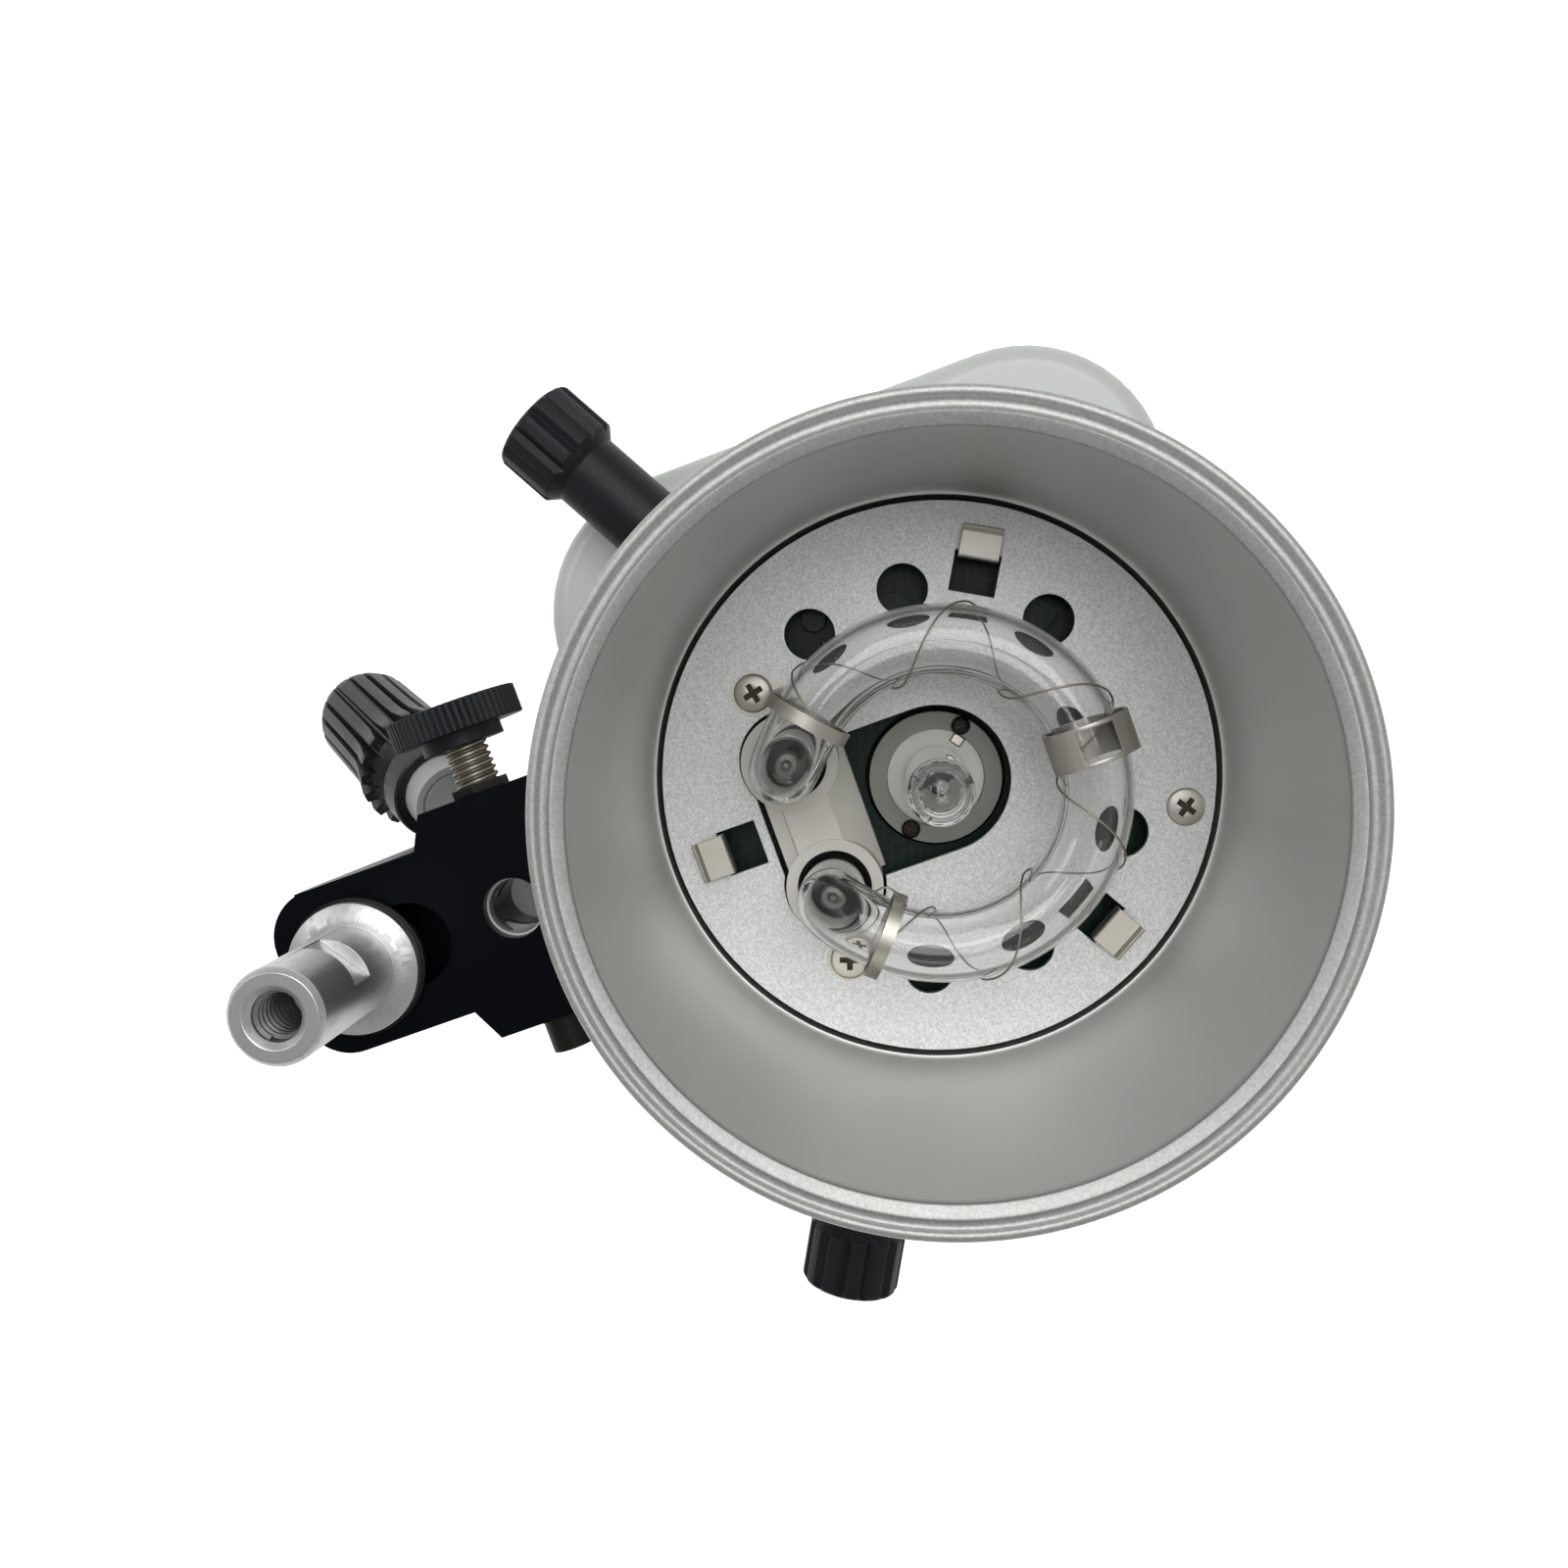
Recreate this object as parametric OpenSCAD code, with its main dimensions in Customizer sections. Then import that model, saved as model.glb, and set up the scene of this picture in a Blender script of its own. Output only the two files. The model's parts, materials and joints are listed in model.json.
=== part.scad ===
// Studio monolight: a flash head with a ring flash tube, a clip-on bowl reflector and a tilting
// stand bracket. It stands on the rim of its rear panel, with the optical axis along +Z. The
// bracket is on the -Y side. An angle on the face is counted from +Y towards -X.

/* [Case] */
// Width of the case, across the optical axis
case_w = 157; // [150:1:170]
// Height of the case, from the bracket side to the top
case_h = 134; // [132:1:146]
// Corner radius of the case
case_r = 30; // [22:1:36]
// Wall of the case
case_wall = 3; // [2:0.5:4]
// Length of the case from the rear rim to its front face
case_len = 190; // [180:1:210]
// Length of the front cover
cover_len = 18; // [14:1:24]
// Length of the rear panel's skirt
skirt_len = 18; // [16:1:24]
// Width of the rear rim that the lamp stands on, with its rounded edge
rim_wall = 8.5; // [7.5:0.5:12]
// Depth of the control recess in the rear panel
recess = 14; // [13:0.5:15]
// Rounding of the outer edges of the case
edge_r = 5; // [3:0.5:7]
// Number of cooling slots on each side of the case
vent_count = 8; // [4:1:9]

/* [Reflector] */
// Outer diameter of the reflector's rim
rim_d = 130; // [124:1:140]
// Inner diameter of the reflector's throat
throat_d = 111.4; // [110.6:0.2:113]
// Depth of the reflector in front of the face plate
bowl_depth = 75.5; // [70:0.5:90]
// Thickness of the spun sheet
sheet = 1.5; // [1:0.1:1.8]
// Length of the collar that slides into the mount ring
collar_len = 15; // [13:0.5:16]

/* [Face] */
// Diameter of the face plate
plate_d = 109.1; // [107:0.1:110]
// Thickness of the face plate
plate_t = 1.5; // [1:0.1:2]
// Height of the face plate's front above the case front
plate_rise = 19.5; // [18:0.5:22]
// Diameter of the cooling holes in the face plate
hole_d = 10; // [6:0.5:11]
// Radius of the circle of cooling holes
hole_ring = 38; // [36:0.5:39]
// Radius of the round end of the plate's central opening
window_r = 14.7; // [14.2:0.1:15.5]
// Radius at which the dome clips' slots are centred
clip_ring = 41; // [40:0.5:42]
// Width of a dome clip's leaf
clip_w = 8; // [6:0.5:9]
// Clearance that parts have where they slide into or past each other
gap = 0.3; // [0.2:0.05:0.4]

/* [Flash tube] */
// Radius of the flash tube's ring, at the middle of the glass
ring_r = 27.5; // [26.5:0.25:28.5]
// Outer radius of the glass tube
glass_r = 6.5; // [6:0.1:6.8]
// Wall of the glass tube
glass_wall = 1.2; // [0.8:0.1:1.5]
// Height of the ring's middle above the face plate
ring_rise = 30; // [27:0.5:34]
// Radius of the bend from the ring into each leg
bend_r = 9.5; // [9:0.1:10.5]
// Angle at which the ring ends on each side
ring_end = 134; // [132:1:136]
// Radius of the trigger wire
wire_r = 0.25; // [0.2:0.05:0.4]
// Radius of the modelling lamp's glass
lamp_r = 6.25; // [5.5:0.25:7]
// Height of the modelling lamp's tip above the face plate
lamp_rise = 33; // [30:0.5:38]

/* [Locks] */
// Angle of each reflector lock screw from the lamp's top
lock_angle = 119; // [116:1:122]
// Diameter of a lock knob's head
lock_head_d = 20; // [16:1:22]
// Length of a lock knob's head
lock_head_len = 15; // [10:1:18]
// Diameter of a lock knob's shaft
lock_shaft_d = 15.5; // [13:0.5:16]
// Radius at which the lock knobs end
lock_reach = 109; // [105:1:112]
// Radius of the lock screws' thread
lock_thread_r = 3; // [2.5:0.25:3.5]

/* [Bracket] */
// Distance of the tilt axle below the optical axis
axle_y = 93; // [92:0.5:94]
// Height of the tilt axle above the rear rim
axle_z = 209; // [208:0.5:212]
// Offset of the bracket's middle from the optical axis
bracket_x = -7.2; // [-9:0.1:-5]
// Width of the bracket's upper part
wide_w = 42.6; // [40:0.2:46]
// Width of the bracket's lower lobe
lobe_w = 30.7; // [28:0.1:32]
// Thickness of the bracket's sheet
bracket_t = 2.5; // [2:0.25:3]
// Distance from the tilt axle to the front of the bracket
bracket_rise = 39; // [38:0.5:42]
// Radius of the umbrella shaft's bore
umbrella_r = 5; // [3.5:0.25:5.5]
// Distance of the umbrella bore from the tilt axle, along the bracket
umbrella_run = 14.9; // [14.5:0.1:15.5]
// Diameter of the stand spigot
spigot_d = 15.875; // [15:0.125:16.5]
// Length of the spigot in front of its flange
spigot_len = 34; // [28:1:40]
// Distance of the spigot from the tilt axle, along the bracket
spigot_run = 15.2; // [14.5:0.1:16]
// Radius of the threaded hole in the spigot's end
tap_r = 4.05; // [3.2:0.05:4.5]
// Radius of the tilt knob over its ribs
knob_r = 11; // [10:0.5:12]
// Length of the tilt knob's ribbed grip
knob_len = 36; // [28:1:40]

/* [Controls] */
// Diameter of the flash power dial
dial_d = 34; // [28:1:38]
// Diameter of the modelling lamp dial
lamp_dial_d = 22; // [16:1:24]
// Radius of the sync socket's bore
sync_r = 3.2; // [1.8:0.1:3.3]

/* [Hidden] */
$fn = 64;
// Small overshoot that lets a cut pass right through
eps = 0.5;
// Radial clearance of a screw or axle in its hole
run = 0.05;

// Case
half_w = case_w / 2;
half_h = case_h / 2;
cover_z = case_len - cover_len;
lip_len = 5;
lip_t = 2;
front_wall = 4;
vent_w = 56;
vent_h = 3.2;
vent_pitch = 12;
vent_z = cover_z - 112;

// Face
plate_z = case_len + plate_rise;
plate_back = plate_z - plate_t;
rim_z = plate_z + bowl_depth;
board_z = case_len + 10;
board_t = 1.6;
board_top = board_z + board_t;
board_r = 47;
cup_floor = 2;
floor_z = case_len + cup_floor;

// Reflector and its mount
throat_r = throat_d / 2;
collar_r = throat_r + sheet;
ring_in = collar_r + gap;
ring_wall = 5.5;
ring_out = ring_in + ring_wall;
ring_top = case_len + 16;
lock_z = case_len + 10;
lock_boss_r = 9;
lock_boss_end = ring_out + 9;
lock_head_at = lock_reach - lock_head_len;
lock_shaft_at = lock_boss_end + 1;
lock_tip = collar_r + 1.4;

// Holes in the face plate: angle and radius
vent_holes = [for (a = [35.5, 80.6, 111.4]) for (s = [-1, 1]) [s * a, hole_ring]];
post_hole = [0, ring_r];
clip_angles = [60, 180, 300];
// Plate screws: angle, radius and the thickness of a foot under the head
foot_t = 0.5;
screw_holes = [[135, 40, foot_t], [-135, 40, foot_t], [-26, 49, 0]];
screw_head_r = 3.8;
screw_shank_r = 1.6;
pillar_r = 3;
pillar_foot_r = 4.5;

// Flash tube
ring_z = plate_z + ring_rise;
leg_a = ring_end + atan(bend_r / ring_r);
leg_r = sqrt(ring_r * ring_r + bend_r * bend_r);
socket_floor = board_top + 4;
socket_top = plate_z + 3.5;
socket_bore = glass_r + 0.85;
socket_boss = socket_bore + 2.25;
glass_plug = 3;
pin_r = 1;
wire_ring = glass_r + gap + wire_r;
// Degrees that the trigger wire has turned about the glass, and the share of ring_end where it
// then is: it starts on top and crosses the outer and the inner side by turns
wire_turnings = [[0, 0.95], [90, 0.895], [270, 0.688], [450, 0.471], [630, 0.289], [810, 0.078],
    [990, -0.11], [1170, -0.31], [1350, -0.477], [1530, -0.719], [1710, -0.86], [1800, -0.983]];
wire_steps = 120;
band_a = ring_end - 3;

// Modelling lamp
holder_r = window_r - 1.45;
holder_bore = lamp_r + 3.5;
holder_floor = floor_z + 5;
holder_top = plate_z - 4.5;
lamp_tip = plate_z + lamp_rise;
lamp_base = holder_floor;
base_len = 6;

// Tilt arm
lobe_out = lobe_w / 2;
lobe_in = lobe_out - bracket_t;
barrel_r = 11;
neck_r = 7;
axle_r = 4;
arm_t = 16;
foot_w = 40;
arm_foot_t = 4;
foot_z0 = case_len - 72;
foot_z1 = case_len - 10;
foot_screw_r = 2.5;

// Lock of the tilt: its screw leans out, down and back
lean = [0, 138, 223];
boss_at = [bracket_x - 21, -axle_y + 1.3, axle_z + 4];
boss_r = 8;
boss_len = 11;
stud_r = 4;
skirt_at = 18;

// Bracket
front_z = axle_z + bracket_rise;
back_z = front_z - bracket_t;
wide_out = wide_w / 2;
wide_in = wide_out - bracket_t;
step_y = -axle_y + 4.6;
top_y = -66;
lobe_end = -axle_y - 28.7;
lobe_r = 9;
ear_r = 12;
side_z = front_z - 20;
umbrella_y = -axle_y + umbrella_run;
spigot_x = bracket_x + 0.4;
spigot_y = -axle_y - spigot_run;
thumb_z = front_z - 8;
block_z = front_z - 18.5;
block_y0 = umbrella_y - 7;
block_y1 = umbrella_y + 7.5;
thumb_r = 4;
wheel_r = 12;
wheel_t = 5.3;
wheel_at = wide_out + 8.9;
washer_t = 1.5;
flange_z = front_z + washer_t;
flange_t = 4;
spigot_z = flange_z + flange_t;
spigot_top = spigot_z + spigot_len;
bolt_r = 4;

// Rear controls, all carried by the panel's face
face_z = recess;
panel_t = 4;
dial_at = [0, half_h - 43];
lamp_dial_at = [36.5 - half_w, half_h - 43];
button_at = [half_w - 36.5, half_h - 33];
cell_at = [half_w - 36.5, half_h - 57];
ready_at = [half_w - 50.5, half_h - 23];
eye_at = [54.5 - half_w, half_h - 21];
mains_at = [-2, 31 - half_h];
inlet_at = [38.5 - half_w, 33 - half_h];
jack_at = [half_w - 40.5, 31 - half_h];

// Inside: the tray, the cans over it, and the board on posts over the cans
tray_t = 2;
tray_y = -half_h + case_wall;
can_r = 17;
can_len = 35;
can_pitch = 2 * can_r + 3;
can_x = can_r + 3;
board_y = tray_y + tray_t + 9 + can_len;
board_z0 = skirt_len + 12;
board_z1 = cover_z - 16;
post_r = 3;
post_x = half_w - case_r - post_r - 1.5;

// Places its children at an angle from the lamp's top and a radius from the axis
module around(angle, radius) {
    rotate([0, 0, angle]) translate([0, radius, 0]) children();
}

// Rounded rectangle
module outline(hx, hy, r) {
    square([2 * (hx - r), 2 * hy], center = true);
    square([2 * hx, 2 * (hy - r)], center = true);
    for (sx = [-1, 1]) for (sy = [-1, 1])
        translate([sx * (hx - r), sy * (hy - r)]) circle(r);
}

// Outline of the case, drawn in by an inset
module case_outline(inset) {
    outline(half_w - inset, half_h - inset, case_r - inset);
}

// Case solid whose edges at its end are rounded
module case_solid(z0, z1) {
    hull() for (sx = [-1, 1]) for (sy = [-1, 1])
        translate([sx * (half_w - case_r), sy * (half_h - case_r), 0]) {
            translate([0, 0, z0]) cylinder(r = case_r, h = z1 - z0 - edge_r, $fn = 48);
            translate([0, 0, z1 - edge_r]) rotate_extrude($fn = 48)
                translate([case_r - edge_r, 0]) intersection() {
                    circle(edge_r, $fn = 16);
                    square(edge_r);
                }
        }
}

// Head with a cross recess, its top at z = 0
module cross_cut(size) {
    for (a = [0, 90]) rotate([0, 0, a])
        translate([-size / 2, -size / 8, -size / 4]) cube([size, size / 4, size / 2]);
}

// Round outline with V grooves
function fluted(r, depth, n) = [for (i = [0 : n - 1]) for (k = [0 : 3])
    let (a = 360 * (i + [0, 0.18, 0.5, 0.68][k]) / n, q = (k == 0 || k == 3) ? r : r - depth)
    k == 1 ? [r * cos(a), r * sin(a)] : k == 2 ? [(r - depth) * cos(360 * (i + 0.43) / n),
        (r - depth) * sin(360 * (i + 0.43) / n)] : [q * cos(a), q * sin(a)]];

module rear_frame() {
    color([0.16, 0.17, 0.18]) {
        difference() {
            translate([0, 0, skirt_len]) mirror([0, 0, 1]) case_solid(0, skirt_len);
            translate([0, 0, -eps]) linear_extrude(skirt_len + 2 * eps) case_outline(rim_wall);
        }
        translate([0, 0, skirt_len - eps]) linear_extrude(lip_len + eps) difference() {
            case_outline(case_wall + gap);
            case_outline(case_wall + gap + lip_t);
        }
    }
}

module rear_panel() {
    color([0.14, 0.15, 0.16]) difference() {
        translate([0, 0, face_z]) linear_extrude(panel_t) case_outline(rim_wall);
        for (p = [dial_at, lamp_dial_at]) translate([p[0], p[1], face_z - eps])
            cylinder(r = 3 + run, h = panel_t + 2 * eps);
        translate([button_at[0], button_at[1], face_z - eps]) cylinder(r = 4 + run, h = panel_t + 2 * eps);
        translate([eye_at[0], eye_at[1], face_z - eps]) cylinder(r = 5 + run, h = panel_t + 2 * eps);
        translate([ready_at[0], ready_at[1], face_z - eps]) cylinder(r = 2.5 + run, h = panel_t + 2 * eps);
        translate([jack_at[0], jack_at[1], face_z - eps]) cylinder(r = 5 + run, h = panel_t + 2 * eps);
        for (p = [mains_at, cell_at]) translate([p[0] - 6.6, p[1] - 9.8, face_z - eps])
            cube([13.2, 19.6, panel_t + 2 * eps]);
        translate([inlet_at[0] - 14, inlet_at[1] - 10, face_z - eps]) cube([28, 20, panel_t + 2 * eps]);
        for (sx = [-1, 1]) for (sy = [-1, 1])
            translate([sx * (half_w - 18), sy * (half_h - 18), face_z - eps])
                cylinder(r = 1.7, h = panel_t + 2 * eps);
    }
}

module panel_screws() {
    color([0.3, 0.3, 0.3]) for (sx = [-1, 1]) for (sy = [-1, 1])
        translate([sx * (half_w - 18), sy * (half_h - 18), 0]) {
            difference() {
                translate([0, 0, face_z - 2]) cylinder(r = 3, h = 2);
                translate([0, 0, face_z - 2]) cross_cut(3.4);
            }
            translate([0, 0, face_z]) cylinder(r = 1.6, h = 8);
        }
}

module case_shell() {
    color([0.77, 0.78, 0.77]) difference() {
        translate([0, 0, skirt_len]) linear_extrude(cover_z - skirt_len) case_outline(0);
        translate([0, 0, skirt_len - eps]) linear_extrude(cover_z - skirt_len + 2 * eps)
            case_outline(case_wall);
        for (i = [0 : vent_count - 1])
            translate([-case_w, -vent_w / 2, vent_z + i * vent_pitch]) cube([2 * case_w, vent_w, vent_h]);
        for (p = arm_holes()) translate([p[0], -half_h - eps, p[1]]) rotate([-90, 0, 0])
            cylinder(r = foot_screw_r + run, h = case_wall + 2 * eps);
    }
}

module front_cover() {
    color([0.78, 0.79, 0.78]) difference() {
        union() {
            case_solid_at(cover_z, case_len);
            translate([0, 0, cover_z - lip_len]) linear_extrude(lip_len + eps)
                case_outline(case_wall + gap);
        }
        translate([0, 0, cover_z - lip_len - eps])
            linear_extrude(cover_len - front_wall + lip_len + eps) case_outline(case_wall + gap + lip_t);
        translate([0, 0, case_len - front_wall - eps]) cylinder(r = 20, h = front_wall + 2 * eps);
    }
}

module case_solid_at(z0, z1) {
    translate([0, 0, z0]) case_solid(0, z1 - z0);
}

module mount_ring() {
    color([0.08, 0.08, 0.09]) difference() {
        union() {
            translate([0, 0, case_len]) cylinder(r = ring_out, h = ring_top - case_len);
            for (a = [lock_angle, -lock_angle]) around(a, 0) translate([0, ring_in + 1, lock_z])
                rotate([-90, 0, 0]) cylinder(r = lock_boss_r, h = lock_boss_end - ring_in - 1);
        }
        translate([0, 0, floor_z]) cylinder(r = ring_in, h = ring_top);
        translate([0, 0, case_len - eps]) cylinder(r = 10, h = cup_floor + 2 * eps);
        for (a = [lock_angle, -lock_angle]) around(a, 0) translate([0, ring_in - 2, lock_z])
            rotate([-90, 0, 0]) cylinder(r = lock_thread_r + run, h = 30);
    }
}

module chassis() {
    color([0.6, 0.6, 0.58]) {
        difference() {
            translate([-half_w + case_r, tray_y, skirt_len + lip_len + 1])
                cube([case_w - 2 * case_r, tray_t, cover_z - skirt_len - 2 * lip_len - 2]);
            for (p = arm_holes()) translate([p[0], tray_y - eps, p[1]]) rotate([-90, 0, 0])
                cylinder(r = foot_screw_r + run, h = tray_t + 2 * eps);
        }
        for (x = [-post_x, post_x]) for (z = [board_z0 + 14, board_z1 - 6])
            translate([x, tray_y + tray_t, z]) rotate([-90, 0, 0])
                cylinder(r = post_r, h = board_y - tray_y - tray_t);
    }
}

module power_board() {
    color([0.05, 0.25, 0.15]) translate([-post_x - 2 * post_r, board_y, board_z0])
        cube([2 * post_x + 4 * post_r, board_t, board_z1 - board_z0]);
}

module capacitors() {
    color([0.1, 0.12, 0.2]) for (i = [-1 : 1]) for (s = [-1, 1])
        translate([s * can_x, board_y, (board_z0 + board_z1) / 2 + i * can_pitch]) rotate([90, 0, 0]) {
            cylinder(r = can_r, h = can_len - 1);
            cylinder(r = can_r - 2, h = can_len);
        }
}

module trigger_coil() {
    size = [30, 14, 24];
    color([0.15, 0.15, 0.15]) translate([-post_x + 10, board_y + board_t, board_z1 - 38]) {
        cube(size);
        translate([size[0] / 2, size[1], size[2] / 2]) rotate([-90, 0, 0]) cylinder(r = 5, h = 5);
    }
}

module face_board() {
    color([0.03, 0.15, 0.1]) difference() {
        union() {
            translate([0, 0, board_z]) cylinder(r = board_r, h = board_t);
            around(85, 34) translate([0, 0, board_top]) cylinder(r = 4, h = 3);
            around(38, 36) translate([-3, -5, board_top]) cube([6, 10, 2.5]);
            around(-80, 35) translate([-5, -3, board_top]) cube([10, 6, 3]);
            around(108, 40) translate([0, 0, board_top]) cylinder(r = 2.5, h = 2);
        }
        translate([0, 0, board_z - eps]) cylinder(r = holder_r + 0.75, h = board_t + 2 * eps);
        for (s = screw_holes) around(s[0], s[1]) translate([0, 0, board_z - eps])
            cylinder(r = pillar_r + gap, h = board_t + 2 * eps);
    }
}

module plate_pillars() {
    color([0.7, 0.7, 0.68]) for (s = screw_holes) around(s[0], s[1]) difference() {
        union() {
            translate([0, 0, floor_z]) cylinder(r = pillar_foot_r, h = board_z - floor_z);
            translate([0, 0, board_z]) cylinder(r = pillar_r, h = plate_back - board_z);
        }
        translate([0, 0, plate_back - 8]) cylinder(r = screw_shank_r + run, h = 8 + eps);
    }
}

module face_plate() {
    slot_h = 8;
    color([0.8, 0.8, 0.79]) difference() {
        translate([0, 0, plate_back]) cylinder(r = plate_d / 2, h = plate_t, $fn = 128);
        translate([0, 0, plate_back - eps]) linear_extrude(plate_t + 2 * eps) {
            circle(window_r);
            translate([-window_r, -leg_r * cos(180 - leg_a) - 9]) square([2 * window_r, leg_r * cos(180 - leg_a) + 9]);
            for (a = [leg_a, -leg_a]) around(a, leg_r) circle(socket_boss + 0.6);
            for (h = vent_holes) around(h[0], h[1]) circle(d = hole_d);
            around(post_hole[0], post_hole[1]) circle(d = hole_d);
            for (a = clip_angles) around(a, clip_ring) square([clip_w + 1, slot_h], center = true);
        }
        for (s = screw_holes) around(s[0], s[1]) translate([0, 0, plate_back])
            cylinder(r1 = screw_shank_r + 0.3, r2 = screw_head_r + 0.1, h = plate_t);
    }
}

module plate_screws() {
    color([0.6, 0.57, 0.5]) for (s = screw_holes) around(s[0], s[1])
        translate([0, 0, plate_z + s[2]]) difference() {
            union() {
                translate([0, 0, -plate_t + 0.1])
                    cylinder(r1 = screw_shank_r, r2 = screw_head_r, h = plate_t - 0.1);
                cylinder(r = screw_head_r, h = 0.3);
                translate([0, 0, -plate_t - 6]) cylinder(r = screw_shank_r, h = 6.2);
            }
            translate([0, 0, 0.3]) cross_cut(4);
        }
}

module dome_clips() {
    leaf = 0.6;
    at = clip_ring + 2.6;
    rise = 2.5;
    color([0.66, 0.64, 0.58]) for (a = clip_angles) around(a, at) translate([-clip_w / 2, 0, 0])
        rotate([90, 0, 90]) linear_extrude(clip_w) polygon([
            [0, plate_back - leaf], [7.4, plate_back - leaf], [7.4, plate_back], [leaf, plate_back],
            [leaf, plate_z + rise - leaf], [5.6, plate_z + rise - leaf], [6.6, plate_z + rise + 0.5],
            [6, plate_z + rise + 0.9], [5.2, plate_z + rise], [0.4, plate_z + rise],
            [0, plate_z + rise - 0.4]]);
}

module tube_socket() {
    leg_x = leg_r * sin(leg_a);
    leg_y = leg_r * cos(leg_a);
    color([0.82, 0.8, 0.75]) difference() {
        union() {
            for (a = [leg_a, -leg_a]) around(a, leg_r) translate([0, 0, board_top])
                cylinder(r = socket_boss, h = socket_top - board_top);
            translate([-leg_x, leg_y - 8, board_top]) cube([2 * leg_x, 15, plate_z + 1.5 - board_top]);
        }
        for (a = [leg_a, -leg_a]) around(a, leg_r) translate([0, 0, socket_floor])
            cylinder(r = socket_bore, h = socket_top);
        translate([-leg_x + socket_boss + 0.6, leg_y - 5.5, plate_z])
            cube([2 * leg_x - 2 * socket_boss - 1.2, 10, 5]);
    }
}

// Closed tube through rings of points, each ring counter-clockwise about the way along the tube
module swept(rings) {
    n = len(rings[0]);
    last = len(rings) - 1;
    points = [for (ring = rings) for (p = ring) p];
    walls = [for (i = [0 : last - 1]) for (k = [0 : n - 1])
        let (m = (k + 1) % n, a = i * n + k, b = i * n + m)
        for (face = [[a, a + n, b + n], [a, b + n, b]]) face];
    ends = [for (k = [1 : n - 2])
        for (face = [[0, k, k + 1], [last * n, last * n + k + 1, last * n + k]]) face];
    polyhedron(points, concat(walls, ends));
}

// Middle of the glass, with the ways outward and upward across it, from one leg to the other
function glass_ring(i, n) = let (a = ring_end * (1 - 2 * i / n))
    [[-ring_r * sin(a), ring_r * cos(a), ring_z], [-sin(a), cos(a), 0], [0, 0, 1]];
function glass_bend(b, side) = let (e = side * ring_end, along = [cos(e), sin(e), 0],
    out = [-sin(e), cos(e), 0], z = ring_z - bend_r * (1 - cos(b)))
    [ring_r * out - side * bend_r * sin(b) * along + [0, 0, z], out,
        [0, 0, cos(b)] - side * sin(b) * along];
function glass_leg(z, side) = let (end = glass_bend(90, side)) [[end[0][0], end[0][1], z], end[1], end[2]];
function glass_path(floor) = concat([glass_leg(floor, 1)], [for (b = [90 : -15 : 15]) glass_bend(b, 1)],
    [for (i = [0 : 36]) glass_ring(i, 36)], [for (b = [15 : 15 : 90]) glass_bend(b, -1)],
    [glass_leg(floor, -1)]);
module glass(r, floor, sides) {
    swept([for (s = glass_path(floor)) [for (k = [0 : sides - 1])
        s[0] + r * (cos(360 * k / sides) * s[1] + sin(360 * k / sides) * s[2])]]);
}

module flash_tube() {
    color([0.85, 0.9, 0.92, 0.5]) difference() {
        glass(glass_r, socket_floor, 18);
        glass(glass_r - glass_wall, socket_floor + glass_plug, 12);
        for (a = [leg_a, -leg_a]) around(a, leg_r) translate([0, 0, socket_floor - eps])
            cylinder(r = pin_r + run, h = glass_plug + 2 * eps, $fn = 16);
    }
}

module tube_electrodes() {
    color([0.5, 0.5, 0.5]) for (a = [leg_a, -leg_a]) around(a, leg_r)
        translate([0, 0, socket_floor]) {
            cylinder(r = pin_r, h = 16);
            translate([0, 0, glass_plug]) cylinder(r = 2.2, h = 1.5);
            translate([0, 0, 12]) cylinder(r = 2.6, h = 6);
        }
}

// Middle of the trigger wire at step i: it winds round the ring of glass
function wire_turned(i) = i * wire_turnings[len(wire_turnings) - 1][0] / wire_steps;
function wire_a(i) = ring_end * lookup(wire_turned(i), wire_turnings);
function wire_point(i) = let (a = wire_a(i), w = 90 - wire_turned(i), q = ring_r + wire_ring * cos(w))
    [-q * sin(a), q * cos(a), ring_z + wire_ring * sin(w)];
function unit(v) = v / norm(v);
function wire_corners(i) = let (p = wire_point(i), along = unit(wire_point(i + 0.5) - wire_point(i - 0.5)),
    a = wire_a(i), hub = [-ring_r * sin(a), ring_r * cos(a), ring_z],
    out = unit(p - hub), side = unit(cross(along, out)), up = cross(side, along))
    [for (k = [0 : 5]) p + wire_r * (cos(60 * k) * up + sin(60 * k) * side)];

module trigger_wire() {
    least = min([for (i = [0 : 6 : wire_steps]) for (j = [i + 18 : 3 : wire_steps])
        norm(wire_point(i) - wire_point(j))]);
    echo(wire_gap_to_itself = least - 2 * wire_r);
    color([0.7, 0.66, 0.6]) swept([for (i = [0 : wire_steps]) wire_corners(i)]);
}

// Section of the clip: it fits the glass, with room for the wire on the outer side and underneath
module clip_section(r, room) {
    hull() for (p = [[0, 0], [room, 0], [room, room]]) translate(p) circle(r);
}

module tube_clip() {
    width = 7.4;
    strip = 0.8;
    band_in = glass_r + gap;
    band_t = 0.6;
    room = 2 * wire_r + 2 * gap;
    color([0.68, 0.66, 0.6]) around(0, ring_r) difference() {
        union() {
            translate([-width / 2, 0, ring_z]) rotate([0, 90, 0]) linear_extrude(width) difference() {
                clip_section(band_in + band_t, room);
                clip_section(band_in, room);
            }
            translate([-3, -0.5, board_top])
                cube([6, 1, ring_z - band_in - room - band_t / 2 - board_top]);
        }
        translate([-width / 2 + strip, -2.4, ring_z + 2]) cube([width - 2 * strip, 6.9, glass_r + 2]);
    }
}

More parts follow.
